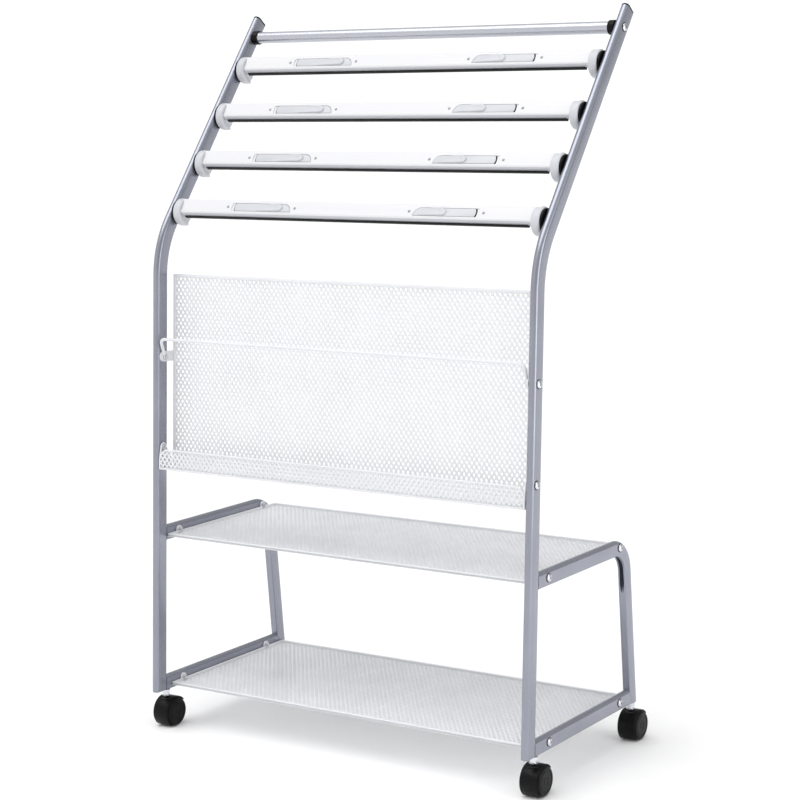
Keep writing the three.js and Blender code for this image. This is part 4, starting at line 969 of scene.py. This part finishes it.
def expanded_mesh_tree():
    tree, sizes, result = new_tree("expanded_mesh", {
        "Pitch X": (FLOAT, DIAMOND_X * MM), "Pitch Y": (FLOAT, DIAMOND_Y * MM), "Columns": (WHOLE, 10),
        "Rows": (WHOLE, 10), "Opening": (FLOAT, OPENING), "Thickness": (FLOAT, MESH_THICK * MM),
        "Material": (MATERIAL, None)})

    def maths(operation, first, second):
        return add_node(tree, "ShaderNodeMath", {0: first, 1: second}, operation=operation)[0]

    def merged(geometry):
        joined = add_node(tree, "GeometryNodeMergeByDistance", {"Geometry": geometry, "Distance": MERGE})
        return joined["Geometry"]

    disc = add_node(tree, "GeometryNodeMeshCircle", {"Vertices": 4, "Radius": 1.0}, fill_type="NGON")
    ring = add_node(tree, "GeometryNodeExtrudeMesh",
                    {"Mesh": disc["Mesh"], "Offset Scale": 0.0}, mode="FACES")
    shrunk = add_node(tree, "GeometryNodeScaleElements",
                      {"Geometry": ring["Mesh"], "Selection": ring["Top"], "Scale": sizes["Opening"]},
                      domain="FACE")
    diamond = add_node(tree, "GeometryNodeDeleteGeometry",
                       {"Geometry": shrunk["Geometry"], "Selection": ring["Top"]}, domain="FACE")
    half = add_node(tree, "ShaderNodeCombineXYZ",
                    {"X": maths("MULTIPLY", sizes["Pitch X"], 0.5),
                     "Y": maths("MULTIPLY", sizes["Pitch Y"], 0.5), "Z": 1.0})
    cell = add_node(tree, "GeometryNodeTransform",
                    {"Geometry": diamond["Geometry"], "Scale": half["Vector"]})
    layers = []
    for fewer in (0, 1):
        columns = maths("SUBTRACT", sizes["Columns"], fewer)
        rows = maths("SUBTRACT", sizes["Rows"], fewer)
        width = maths("MULTIPLY", sizes["Pitch X"], maths("SUBTRACT", columns, 1))
        height = maths("MULTIPLY", sizes["Pitch Y"], maths("SUBTRACT", rows, 1))
        grid = add_node(tree, "GeometryNodeMeshGrid",
                        {"Size X": width, "Size Y": height, "Vertices X": columns, "Vertices Y": rows})
        layers.append(add_node(tree, "GeometryNodeInstanceOnPoints",
                               {"Points": grid["Mesh"], "Instance": cell["Geometry"]})["Instances"])
    both = add_node(tree, "GeometryNodeJoinGeometry", {"Geometry": layers})
    loose = add_node(tree, "GeometryNodeRealizeInstances", {"Geometry": both["Geometry"]})
    sheet = merged(loose["Geometry"])
    raised = add_node(tree, "GeometryNodeExtrudeMesh",
                      {"Mesh": sheet, "Offset Scale": sizes["Thickness"], "Individual": False}, mode="FACES")
    under = add_node(tree, "GeometryNodeFlipFaces", {"Mesh": sheet})
    sides = add_node(tree, "GeometryNodeJoinGeometry", {"Geometry": [raised["Mesh"], under["Mesh"]]})
    return end_tree(tree, merged(sides["Geometry"]), sizes, result)


mesh_tree = expanded_mesh_tree()
print("expanded mesh tree with", len(mesh_tree.nodes), "nodes")

# %% Sheets of expanded mesh
def expanded_mesh(name, width, height, matrix, pitch_y=DIAMOND_Y):
    """Mesh sheet centred on the origin of its own plane, then placed; sizes in millimetres."""
    columns, rows = round(width / DIAMOND_X), max(1, round(height / pitch_y))
    sheet = grow(name, mesh_tree, **{"Pitch X": width / columns * MM, "Pitch Y": height / rows * MM,
                                     "Columns": columns, "Rows": rows, "Thickness": MESH_THICK * MM,
                                     "Material": mesh_coat})
    sheet.data.transform(Matrix.Scale(MM, 4) @ matrix @ Matrix.Scale(1 / MM, 4))
    return sheet


print("a sheet has diamonds of about", DIAMOND_X, "by", DIAMOND_Y, "mm")

# %% [markdown]
# ## Shelves
# Both shelves are flat trays: a mesh floor, a rolled hem round the edge and four ears bolted to the side
# frames. The front edge shows a row of open holes where the sheet bends up under the roll, with a fold of
# sheet close behind them. The hem is a rounded section carried round the rectangle with mitred corners,
# which needs only four rings.

# %% Hems and ears
MESH_HALF, SHELF_DROP, EAR_WIDTH, EAR_THICK, EAR_STEPS = 307.6, 6, 13, 1.5, 14
HEM_DEEP, HEM_LOW, HEM_HIGH, HEM_ROUND = 3.4, 2.6, 5, 1.2
SKIRT_DEEP, SKIRT_HIGH, SKIRT_ROUND = 1.3, 0.7, 0.3
FOLD_FRONT, FOLD_BACK, FOLD_LOW, FOLD_HIGH, FOLD_ROUND = 2.3, 3, 0.5, 3, 0.2
FRONT_BOLT_BACK, REAR_BOLT_FORE, SHELF_FRONT = 50, 46, 24


def hem_loop(x0, x1, y0, y1, section):
    """Section of (inwards, up) carried round a rectangle with mitred corners."""
    corners = [(x0, y0, 1, 1), (x1, y0, -1, 1), (x1, y1, -1, -1), (x0, y1, 1, -1)]
    return loft([[(x + u * sx, y + u * sy, v) for u, v in section] for x, y, sx, sy in corners], loop=True)


def ear_shape(side, y, low, bolt_z):
    half = EAR_WIDTH / 2
    outline = [(y - half, low), (y + half, low)] + arc((y, bolt_z), half, 0, 180, EAR_STEPS)
    return along_x(outline, *sorted((side * MESH_HALF, side * (MESH_HALF - EAR_THICK))))


shelf_front_y = upright_y(FOOT_HEIGHT) + SHELF_FRONT
shelf_bolts = [upright_y(FOOT_HEIGHT) + FRONT_BOLT_BACK, leg_y(FOOT_HEIGHT) - REAR_BOLT_FORE]
edge_sections = [rounded_box(0, HEM_DEEP, HEM_LOW, HEM_HIGH, HEM_ROUND),
                 rounded_box(0, SKIRT_DEEP, 0, SKIRT_HIGH, SKIRT_ROUND, steps=3),
                 rounded_box(FOLD_FRONT, FOLD_BACK, FOLD_LOW, FOLD_HIGH, FOLD_ROUND, steps=2)]
print("shelf edge of", [len(section) for section in edge_sections], "points: roll, skirt and fold")

# %% Shelves
# Each shelf: its node, the height of its bolts, and how far before the rear feet it ends
SHELVES = [("mid_shelf", MID_RAIL_HEIGHT, 14), ("base_shelf", BASE_RAIL_HEIGHT, 2)]
DECK_INSET, HOLES_MIDDLE, HOLES_HEIGHT = 1.6, 1.8, 3.4
facing_front = Matrix.Rotation(math.pi / 2, 4, "X")
deck_width = 2 * MESH_HALF - DECK_INSET
for node, bolt_z, rear_gap in SHELVES:
    back_y = leg_y(FOOT_HEIGHT) - rear_gap
    low = centring @ shift(z=bolt_z - SHELF_DROP)
    tray = [placed(hem_loop(-MESH_HALF, MESH_HALF, shelf_front_y, back_y, section), low)
            for section in edge_sections]
    for side in SIDES.values():
        tray += [placed(ear_shape(side, y, 0, SHELF_DROP), low) for y in shelf_bolts]
    dress(solid(f"{node}_hem", *tray), mesh_coat, node)
    middle = low @ shift(y=(shelf_front_y + back_y) / 2)
    deck = expanded_mesh(f"{node}_deck", deck_width, back_y - shelf_front_y - DECK_INSET, middle)
    add_on(deck, None, node)
    for edge, y in (("front", shelf_front_y + MESH_THICK), ("rear", back_y)):
        upstand = low @ shift(y=y, z=HOLES_MIDDLE) @ facing_front
        holes = expanded_mesh(f"{node}_{edge}_bend", deck_width, HOLES_HEIGHT, upstand, HOLES_HEIGHT)
        add_on(holes, None, node)
    print(node, "deck:", len(deck.data.polygons), "faces")

# %% [markdown]
# ## Magazine pocket
# The pocket hangs between the uprights and leans with them: a low trough of mesh in front, a mesh panel
# behind, and a wire across the front. The trough's upper corners are round, so its flat sheets are cut to
# an outline with a boolean, and a thin rolled rim follows the same outline. A node tree draws the rim and
# the wire as round rods along a path, with bends of a given radius.

# %% A rod along a path, by nodes
BEND_POINTS = 8


def rod_tree():
    tree, sizes, result = new_tree("rod_along_path", {
        "Path": (GEOMETRY, None), "Rod Radius": (FLOAT, MM), "Bend Radius": (FLOAT, 0.0),
        "Sides": (WHOLE, 12), "Material": (MATERIAL, None)})
    line = add_node(tree, "GeometryNodeMeshToCurve", {"Mesh": sizes["Path"]})
    bent = add_node(tree, "GeometryNodeFilletCurve",
                    {"Curve": line["Curve"], "Count": BEND_POINTS, "Radius": sizes["Bend Radius"],
                     "Limit Radius": True}, mode="POLY")
    section = add_node(tree, "GeometryNodeCurvePrimitiveCircle",
                       {"Resolution": sizes["Sides"], "Radius": sizes["Rod Radius"]})
    skin = add_node(tree, "GeometryNodeCurveToMesh",
                    {"Curve": bent["Curve"], "Profile Curve": section["Curve"], "Fill Caps": True})
    return end_tree(tree, skin["Mesh"], sizes, result)


path_tree = rod_tree()


def rod(name, paths, radius, material, bend_radius=0.0, sides=12, closed=False):
    """Round rods along lists of points in millimetres."""
    points, edges = [], []
    for path in paths:
        first = len(points)
        points += [Vector(p) * MM for p in path]
        edges += [(first + k, first + k + 1) for k in range(len(path) - 1)]
        edges += [(first + len(path) - 1, first)] if closed else []
    seeds = bpy.data.meshes.new(name)
    seeds.from_pydata(points, edges, [])
    made = grow(name, path_tree, seeds, **{"Rod Radius": radius * MM, "Bend Radius": bend_radius * MM,
                                           "Sides": sides, "Material": material})
    work = bmesh.new()
    work.from_mesh(made.data)
    bmesh.ops.recalc_face_normals(work, faces=work.faces)
    work.to_mesh(made.data)
    work.free()
    return shade(made)


print("rod tree with", len(path_tree.nodes), "nodes")

# %% Trough
TROUGH_FLOOR, TROUGH_TOP, TROUGH_FRONT, TROUGH_REAR, TROUGH_CORNER = 392, 423, -9.5, 18.5, 16
POCKET_BOLT, WIRE_BOLT, RIM, SHEET_LIFT = 425, 558, 1.5, 0.2
WALL_CORNER, WALL_CUT_FRONT, WALL_CUT_BACK = 0.5, -14, -4
pocket_lean = Matrix.Rotation(-LOWER_LEAN, 4, "X")
pocket = centring @ pocket_lean
trough_y, trough_z = (TROUGH_FRONT + TROUGH_REAR) / 2, (TROUGH_FLOOR + TROUGH_TOP) / 2
wall_x, wall_low, wall_high = MESH_HALF - RIM, TROUGH_FLOOR + RIM, TROUGH_TOP - RIM
wall_outline = rounded([(-wall_x, wall_low, WALL_CORNER), (wall_x, wall_low, WALL_CORNER),
                        (wall_x, wall_high, TROUGH_CORNER), (-wall_x, wall_high, TROUGH_CORNER)], steps=8)
wall_place = pocket @ shift(y=TROUGH_FRONT + MESH_THICK + SHEET_LIFT, z=trough_z) @ facing_front
wall = expanded_mesh("trough_front_mesh", 2 * MESH_HALF, TROUGH_TOP - TROUGH_FLOOR, wall_place)
wall_block = from_front(wall_outline, WALL_CUT_FRONT, WALL_CUT_BACK)
carve(wall, solid("wall_outline", placed(wall_block, pocket)), "INTERSECT")
add_on(wall, mesh_coat, "magazine_trough")
floor_place = pocket @ shift(y=trough_y, z=TROUGH_FLOOR + SHEET_LIFT)
floor_sheet = expanded_mesh("trough_floor_mesh", 2 * MESH_HALF, TROUGH_REAR - TROUGH_FRONT, floor_place)
add_on(floor_sheet, None, "magazine_trough")
print("trough front mesh:", len(wall.data.polygons), "faces")

# %% Trough ends and rim
END_WIDTH, END_HEIGHT, END_RISE, EAR_FOOT, CUT_SPARE = 32, 43, 19, 7, 3


def in_pocket(points):
    return [pocket @ Vector(p) for p in points]


front_y, rear_y, shoulder = TROUGH_FRONT + RIM, TROUGH_REAR - RIM, TROUGH_TOP - TROUGH_CORNER
ear_half, ear_low = EAR_WIDTH / 2 - RIM, POCKET_BOLT - EAR_FOOT
ear_top = arc((0, POCKET_BOLT), ear_half, 0, 180, EAR_STEPS)
end_outline = [(front_y, wall_low), (rear_y, wall_low), (rear_y, shoulder)] + ear_top + [(front_y, shoulder)]
ear_outline = [(-ear_half, ear_low), (ear_half, ear_low)] + ear_top
rim_paths = [in_pocket([(x, front_y, z) for x, z in wall_outline])]
ears = []
for side_name, side in SIDES.items():
    near = sorted((side * MESH_HALF, side * (MESH_HALF - MESH_THICK)))
    ears.append(placed(along_x(ear_outline, *near), pocket))
    rim_paths.append(in_pocket([(side * wall_x, y, z) for y, z in end_outline]))
    end_place = pocket @ shift(near[0], trough_y, TROUGH_FLOOR + END_RISE) @ turn_to_x
    plate = expanded_mesh(f"trough_{side_name}_end_mesh", END_WIDTH, END_HEIGHT, end_place)
    end_block = along_x(end_outline, near[0] - CUT_SPARE, near[1] + CUT_SPARE)
    carve(plate, solid("end_outline", placed(end_block, pocket)), "INTERSECT")
    add_on(plate, mesh_coat, "magazine_trough")
dress(rod("trough_rim", rim_paths, RIM, mesh_coat, closed=True), None, "magazine_trough")
add_on(solid("trough_ears", *ears), mesh_coat, "magazine_trough")
print("trough rim follows", len(rim_paths), "outlines")

# %% Back panel
PANEL_HALF, PANEL_FRONT, PANEL_TOP, PANEL_HEM, PANEL_ROUND = 305.8, 20.8, 678, 4.6, 1.6
PANEL_EAR, PANEL_EAR_LAP, PANEL_EAR_SUNK, PANEL_INSET, PANEL_MESH_BACK = 7.5, 3, 0.5, 3, 2.9
panel_section = rounded_box(0, PANEL_HEM, 0, PANEL_HEM, PANEL_ROUND)
panel_hem = hem_loop(-PANEL_HALF, PANEL_HALF, TROUGH_FLOOR, PANEL_TOP, panel_section)
panel_parts = [placed(panel_hem, pocket @ shift(y=PANEL_FRONT + PANEL_HEM) @ facing_front)]
ear_back = PANEL_FRONT + PANEL_EAR_LAP
panel_ear = [(ear_back, WIRE_BOLT - PANEL_EAR), (ear_back, WIRE_BOLT + PANEL_EAR)]
panel_ear += arc((0, WIRE_BOLT), PANEL_EAR, 90, 270, EAR_STEPS)
for side in SIDES.values():
    plate_x = sorted((side * (PANEL_HALF - PANEL_EAR_SUNK), side * MESH_HALF))
    panel_parts.append(placed(along_x(panel_ear, *plate_x), pocket))
dress(solid("pocket_panel_hem", *panel_parts), mesh_coat, "pocket_back_panel")
panel_width, panel_height = 2 * PANEL_HALF - PANEL_INSET, PANEL_TOP - TROUGH_FLOOR - PANEL_INSET
panel_middle = shift(y=PANEL_FRONT + PANEL_MESH_BACK, z=(TROUGH_FLOOR + PANEL_TOP) / 2)
panel = expanded_mesh("pocket_panel_mesh", panel_width, panel_height, pocket @ panel_middle @ facing_front)
add_on(panel, None, "pocket_back_panel")
print("panel mesh:", len(panel.data.polygons), "faces")

# %% Retaining wire
WIRE_RADIUS, WIRE_REACH, WIRE_TOP, WIRE_OUT, WIRE_BEND, WIRE_DROP = 2.25, 303.25, 584, -11, 8, 1
TAB_X, TAB_THICK, TAB_RADIUS, TAB_EDGE = 303.9, 1.6, 6, 0.3
wire_foot = WIRE_BOLT - WIRE_DROP
wire_path = [(-WIRE_REACH, 0, wire_foot), (-WIRE_REACH, WIRE_OUT, WIRE_TOP),
             (WIRE_REACH, WIRE_OUT, WIRE_TOP), (WIRE_REACH, 0, wire_foot)]
wire = rod("retaining_wire_rod", [in_pocket(wire_path)], WIRE_RADIUS, mesh_coat, WIRE_BEND, sides=20)
dress(wire, None, "retaining_wire")
tab_profile = [(0, 0), (TAB_RADIUS - TAB_EDGE, 0), (TAB_RADIUS, TAB_EDGE),
               (TAB_RADIUS, TAB_THICK - TAB_EDGE), (TAB_RADIUS - TAB_EDGE, TAB_THICK), (0, TAB_THICK)]
tabs = []
for side in SIDES.values():
    seat = shift(x=side * TAB_X, z=WIRE_BOLT) @ Matrix.Scale(side, 4, ACROSS)
    tabs.append(placed(lathe(tab_profile, segments=32), pocket @ seat @ turn_to_x))
add_on(solid("retaining_wire_tabs", *tabs), mesh_coat, "retaining_wire")
print("wire spans", 2 * WIRE_REACH, "mm")

# %% [markdown]
# ## Casters
# Each caster is a pair of black drums beside a narrow web, under a curved hood, on a plated stem with a
# cone and a nut. Wheels, axle and stem are turned parts, so a lathe profile says all there is to say; the
# nut is a lathe with six sides. The web has its socket and bore cut by booleans, and the hood is a flat
# section swept round the wheels' axis.

# %% Wheels
HUB_HEIGHT, CASTER_TRAIL = 21.6, 7.5
WHEEL_RADIUS, WHEEL_INNER, WHEEL_OUTER, WHEEL_BORE, HUB_WALL = 21.25, 5.5, 15.6, 3.3, 2.5
TREAD_EDGE, SIDE_ROUND, SIDE_END = 1.0, 4.2, 80
# Turned grooves in a wheel's side, as (outer radius, inner radius, height of the lip, depth)
GROOVES, GROOVE_SLOPE = [(15.6, 14.2, -0.1, 0.6), (6, 4.7, 0.0, 0.4)], 0.3
hub = shift(y=CASTER_TRAIL, z=HUB_HEIGHT)


def wheel_shape():
    bore_end = WHEEL_OUTER - HUB_WALL
    profile = [(0, bore_end), (WHEEL_BORE, bore_end), (WHEEL_BORE, WHEEL_INNER),
               (WHEEL_RADIUS - TREAD_EDGE, WHEEL_INNER), (WHEEL_RADIUS, WHEEL_INNER + TREAD_EDGE)]
    round_hub = (WHEEL_RADIUS - SIDE_ROUND, WHEEL_OUTER - SIDE_ROUND)
    profile += arc(round_hub, SIDE_ROUND, 0, SIDE_END, steps=8)
    for outer, inner, lip, depth in GROOVES:
        high = WHEEL_OUTER + lip
        profile += [(outer, high), (outer - GROOVE_SLOPE, high - depth),
                    (inner + GROOVE_SLOPE, high - depth), (inner, high)]
    return lathe(profile + [(0, WHEEL_OUTER)], segments=56)


print("wheel of", 2 * WHEEL_RADIUS, "mm")

# %% Webs and hoods
WEB_HALF, WEB_RADIUS, WEB_NECK, WEB_TOP, WEB_LOW, WEB_EDGE = 5, 21, 6.5, 42.6, 6, 0.8
# Block that trims a web flat, as its limits in x and y and its underside
UNDER_BLOCK = (-20, 20, -40, 60, -10)
SOCKET_RADIUS, SOCKET_LOW, BORE_REACH = 3.8, 30.3, 9
HOOD_INNER, HOOD_OUTER, HOOD_HALF, HOOD_START, HOOD_END, HOOD_STEPS = 21.9, 23.3, 13.2, 40, 236, 40
INNER_ROUND, OUTER_ROUND = 0.5, 0.7
STEM_HOLE, HOLE_LOW, HOLE_HIGH = 4.8, 38, 50


def web_piece(name, place):
    """Narrow web between the wheels, flat below, with a socket for the stem and a bore for the axle."""
    across = place @ hub @ turn_to_x
    web = solid(name, placed(drum(WEB_RADIUS, -WEB_HALF, WEB_HALF, segments=56), across))
    neck = box_shape(-WEB_HALF, WEB_HALF, -WEB_NECK, WEB_NECK, HUB_HEIGHT, WEB_TOP)
    carve(web, solid("neck", placed(neck, place)), "UNION")
    below = box_shape(*UNDER_BLOCK, WEB_LOW)
    carve(web, solid("below", placed(below, place)))
    soften(web, WEB_EDGE)
    socket = drum(SOCKET_RADIUS, SOCKET_LOW, PAST, segments=24)
    carve(web, solid("socket", placed(socket, place)))
    bore = drum(WHEEL_BORE, -BORE_REACH, BORE_REACH, segments=24)
    return carve(web, solid("bore", placed(bore, across)))


def hood_piece(name, place):
    """Curved hood over the front and top of both wheels, with a hole round the stem."""
    corners = [(HOOD_INNER, -HOOD_HALF, INNER_ROUND), (HOOD_OUTER, -HOOD_HALF, OUTER_ROUND),
               (HOOD_OUTER, HOOD_HALF, OUTER_ROUND), (HOOD_INNER, HOOD_HALF, INNER_ROUND)]
    section = rounded(corners, steps=3)
    turns = [math.radians(angle) for angle in even_steps(HOOD_START, HOOD_END, HOOD_STEPS)]
    sweep = loft([[(x, r * math.cos(a), r * math.sin(a)) for r, x in section] for a in turns])
    hood = solid(name, placed(sweep, place @ hub))
    hole = drum(STEM_HOLE, HOLE_LOW, HOLE_HIGH, segments=32)
    return carve(hood, solid("stem_hole", placed(hole, place)))


print("hood from", HOOD_START, "to", HOOD_END, "degrees round the axle")

# %% Stems, axles and the four casters
AXLE_RADIUS, AXLE_HALF, AXLE_EDGE = 3, 12.8, 0.4
FRONT_STEM_BACK = 17
STEM_LOW, STEM_RADIUS, STEM_EDGE, NECK_RADIUS, NECK_TOP = 30.6, 3.5, 0.6, 4.5, 51.6
NUT_LOW, NUT_TOP, NUT_RADIUS, NUT_FLAT, NUT_EDGE = 51.2, 56.7, 6.8, 5.9, 0.5
# The cone under the nut from its foot to its top, as (radius, height)
CONE = [(STEM_RADIUS, 42.9), (6.1, 47.3), (6.3, 47.7), (6.2, 48.1), (5.6, 48.3), (NECK_RADIUS, 48.4)]


def stem_shapes():
    pin = [(0, STEM_LOW), (STEM_RADIUS - STEM_EDGE, STEM_LOW), (STEM_RADIUS, STEM_LOW + STEM_EDGE)]
    pin += CONE + [(NECK_RADIUS, NECK_TOP), (0, NECK_TOP)]
    nut = [(0, NUT_LOW), (NUT_FLAT, NUT_LOW), (NUT_RADIUS, NUT_LOW + NUT_EDGE),
           (NUT_RADIUS, NUT_TOP - NUT_EDGE), (NUT_FLAT, NUT_TOP), (0, NUT_TOP)]
    return [lathe(pin, segments=32), lathe(nut, segments=6)]


axle_end, axle_flat = AXLE_HALF - AXLE_EDGE, AXLE_RADIUS - AXLE_EDGE
axle_profile = [(0, -AXLE_HALF), (axle_flat, -AXLE_HALF), (AXLE_RADIUS, -axle_end), (AXLE_RADIUS, axle_end),
                (axle_flat, AXLE_HALF), (0, AXLE_HALF)]
stem_y = {"front": upright_y(FOOT_HEIGHT) + FRONT_STEM_BACK, "rear": leg_y(FOOT_HEIGHT)}
for end_name, y in stem_y.items():
    for side_name, side in SIDES.items():
        place = centring @ shift(side * TUBE_X, y)
        prefix = f"caster_{end_name}_{side_name}"
        dress(web_piece(f"{prefix}_web", place), black_plastic, f"{prefix}_hood")
        add_on(hood_piece(f"{prefix}_guard", place), black_plastic, f"{prefix}_hood")
        post = solid(f"{prefix}_post", *[placed(part, place) for part in stem_shapes()])
        dress(post, plated_steel, f"{prefix}_stem")
        axle = placed(lathe(axle_profile, segments=24), place @ hub @ turn_to_x)
        dress(solid(f"{prefix}_pin", axle), plated_steel, f"{prefix}_axle")
        for wheel_name, wheel_side in SIDES.items():
            wheel_place = place @ hub @ turn_to_side(wheel_side)
            wheel = solid(f"{prefix}_drum_{wheel_name}", placed(wheel_shape(), wheel_place))
            dress(wheel, black_plastic, f"{prefix}_wheel_{wheel_name}")
print("wheels:", len(wheel.data.polygons), "faces each")

# %% [markdown]
# ## Bolts and rivets
# Fourteen pan-head bolts with hexagon sockets, each on a thin black washer, hold the shelves, the pocket
# and the crossbar; the washers' black is also painted shade for the gap under each head. There is a nut
# inside on each ear, and small rivets sit beside each window of the clips.
# They repeat, so a node tree sets a head on every point of a seat mesh, turned along the point's own facing
# attribute.

# %% A tree that sets a head on every seat
def fastener_tree():
    tree, sizes, result = new_tree("fasteners_on_seats", {
        "Seats": (GEOMETRY, None), "Head": (OBJECT, None), "Material": (MATERIAL, None)})
    head = add_node(tree, "GeometryNodeObjectInfo", {"Object": sizes["Head"]})
    facing = add_node(tree, "GeometryNodeInputNamedAttribute", {"Name": "facing"}, data_type="FLOAT_VECTOR")
    turn = add_node(tree, "FunctionNodeAlignRotationToVector", {"Vector": facing["Attribute"]}, axis="Z")
    heads = add_node(tree, "GeometryNodeInstanceOnPoints",
                     {"Points": sizes["Seats"], "Instance": head["Geometry"], "Rotation": turn["Rotation"]})
    return end_tree(tree, heads["Instances"], sizes, result)


seat_tree = fastener_tree()


def fasteners(name, seats, head, material):
    """Copies of a head on seats, given as (place in millimetres, facing)."""
    points = bpy.data.meshes.new(name)
    points.from_pydata([Vector(place) * MM for place, facing in seats], [], [])
    turned = points.attributes.new("facing", "FLOAT_VECTOR", "POINT")
    turned.data.foreach_set("vector", [value for place, facing in seats for value in facing])
    return shade(grow(name, seat_tree, points, Head=head, Material=material))


print("fastener tree with", len(seat_tree.nodes), "nodes")

# %% Heads, washers, nuts and rivets
HEAD_RADIUS, HEAD_RISE, HEAD_SUNK, HEAD_FLAT, HEAD_SKIRT = 5.6, 3, 0.2, 1.2, 0.7
HEX_RADIUS, HEX_FLOOR, HEX_PAST = 2.6, 1, 5
# Turned profiles as (radius, height)
# The black washer under a bolt head is painted shade for the gap under the head.
SHADOW_GAP_WASHER_TURNED = [(0, 0), (6.3, 0), (6.4, 0.2), (6.4, 0.5), (6.2, 0.7), (0, 0.7)]
NUT_TURNED = [(0, 0), (4.2, 0), (4.6, 0.3), (4.6, 2.9), (4.2, 3.2), (2.4, 3.2)]
BOLT_END_TURNED = [(0, 0), (2.2, 0), (2.2, 4.2), (1.9, 4.5), (0, 4.5)]
RIVET_TURNED = [(0, -0.3), (2.1, -0.3), (2.1, 0.1), (1.7, 0.45), (0.9, 0.62), (0, 0.66)]

dome_reach, dome_rise = HEAD_RADIUS - HEAD_FLAT, HEAD_RISE - HEAD_SKIRT
dome = [(HEAD_FLAT + dome_reach * math.sin(a), HEAD_SKIRT + dome_rise * math.cos(a))
        for a in even_steps(0, math.pi / 2, steps=8)[::-1]]
head_profile = [(0, -HEAD_SUNK), (HEAD_RADIUS, -HEAD_SUNK)] + dome + [(0, HEAD_RISE)]
bolt_head = solid("bolt_head", lathe(head_profile, segments=32))
carve(bolt_head, solid("hex_socket", drum(HEX_RADIUS, HEX_FLOOR, HEX_PAST, segments=6)))
bolt_washer = solid("bolt_washer", lathe(SHADOW_GAP_WASHER_TURNED, segments=32))
nut_end = solid("nut_end", lathe(NUT_TURNED, segments=6), lathe(BOLT_END_TURNED, segments=16))
rivet_head = solid("rivet_head", lathe(RIVET_TURNED, segments=14))
print("bolt head:", len(bolt_head.data.polygons), "faces")

# %% Fasteners in place
# A caster's stem stands in the frame, so its body is that of the frame's bolts
FRAME_STEEL = "caster_front_left_stem"
RIVET_GAP = 7
shelf_seats = [in_yz(y, z) for y in shelf_bolts for z in (MID_RAIL_HEIGHT, BASE_RAIL_HEIGHT)]
ear_seats = shelf_seats + [pocket_lean @ in_yz(0, z) for z in (POCKET_BOLT, WIRE_BOLT)]
bolts, nuts = [], []
for side in SIDES.values():
    for seat in ear_seats + [crossbar_centre]:
        bolts.append((centring @ (seat + ACROSS * (side * OUTER_X)), ACROSS * side))
    for seat in ear_seats:
        inner_face = TAB_X if seat == ear_seats[-1] else MESH_HALF - EAR_THICK
        nuts.append((centring @ (seat + ACROSS * (side * inner_face)), ACROSS * -side))
add_on(fasteners("frame_bolts", bolts, bolt_head, plated_steel), None, FRAME_STEEL)
# Black rings under the heads: painted shade for the gap under each bolt head.
add_on(fasteners("frame_washers", bolts, bolt_washer, black_plastic), None, FRAME_STEEL)
add_on(fasteners("frame_nuts", nuts, nut_end, plated_steel), None, FRAME_STEEL)
for number in CLIP_NUMBERS:
    place = clip_place(number)
    forward = -Vector(place.col[1][:3])
    spots = []
    for side_name, side in SIDES.items():
        inner, outer = catch_ends[side_name]
        spots += [inner - side * RIVET_GAP, outer + side * (CATCH_TRAVEL + RIVET_GAP)]
    seats = [(place @ Vector((x, 0, window_middle)), forward) for x in spots]
    rivets = fasteners(f"clip_{number}_rivets", seats, rivet_head, rivet_grey)
    add_on(rivets, None, f"clip_{number}_rail")
for pattern in (bolt_head, bolt_washer, nut_end, rivet_head):
    bpy.data.objects.remove(pattern)
print(len(bolts), "bolts,", len(nuts), "nuts,", len(CLIP_NUMBERS) * len(spots), "rivets")
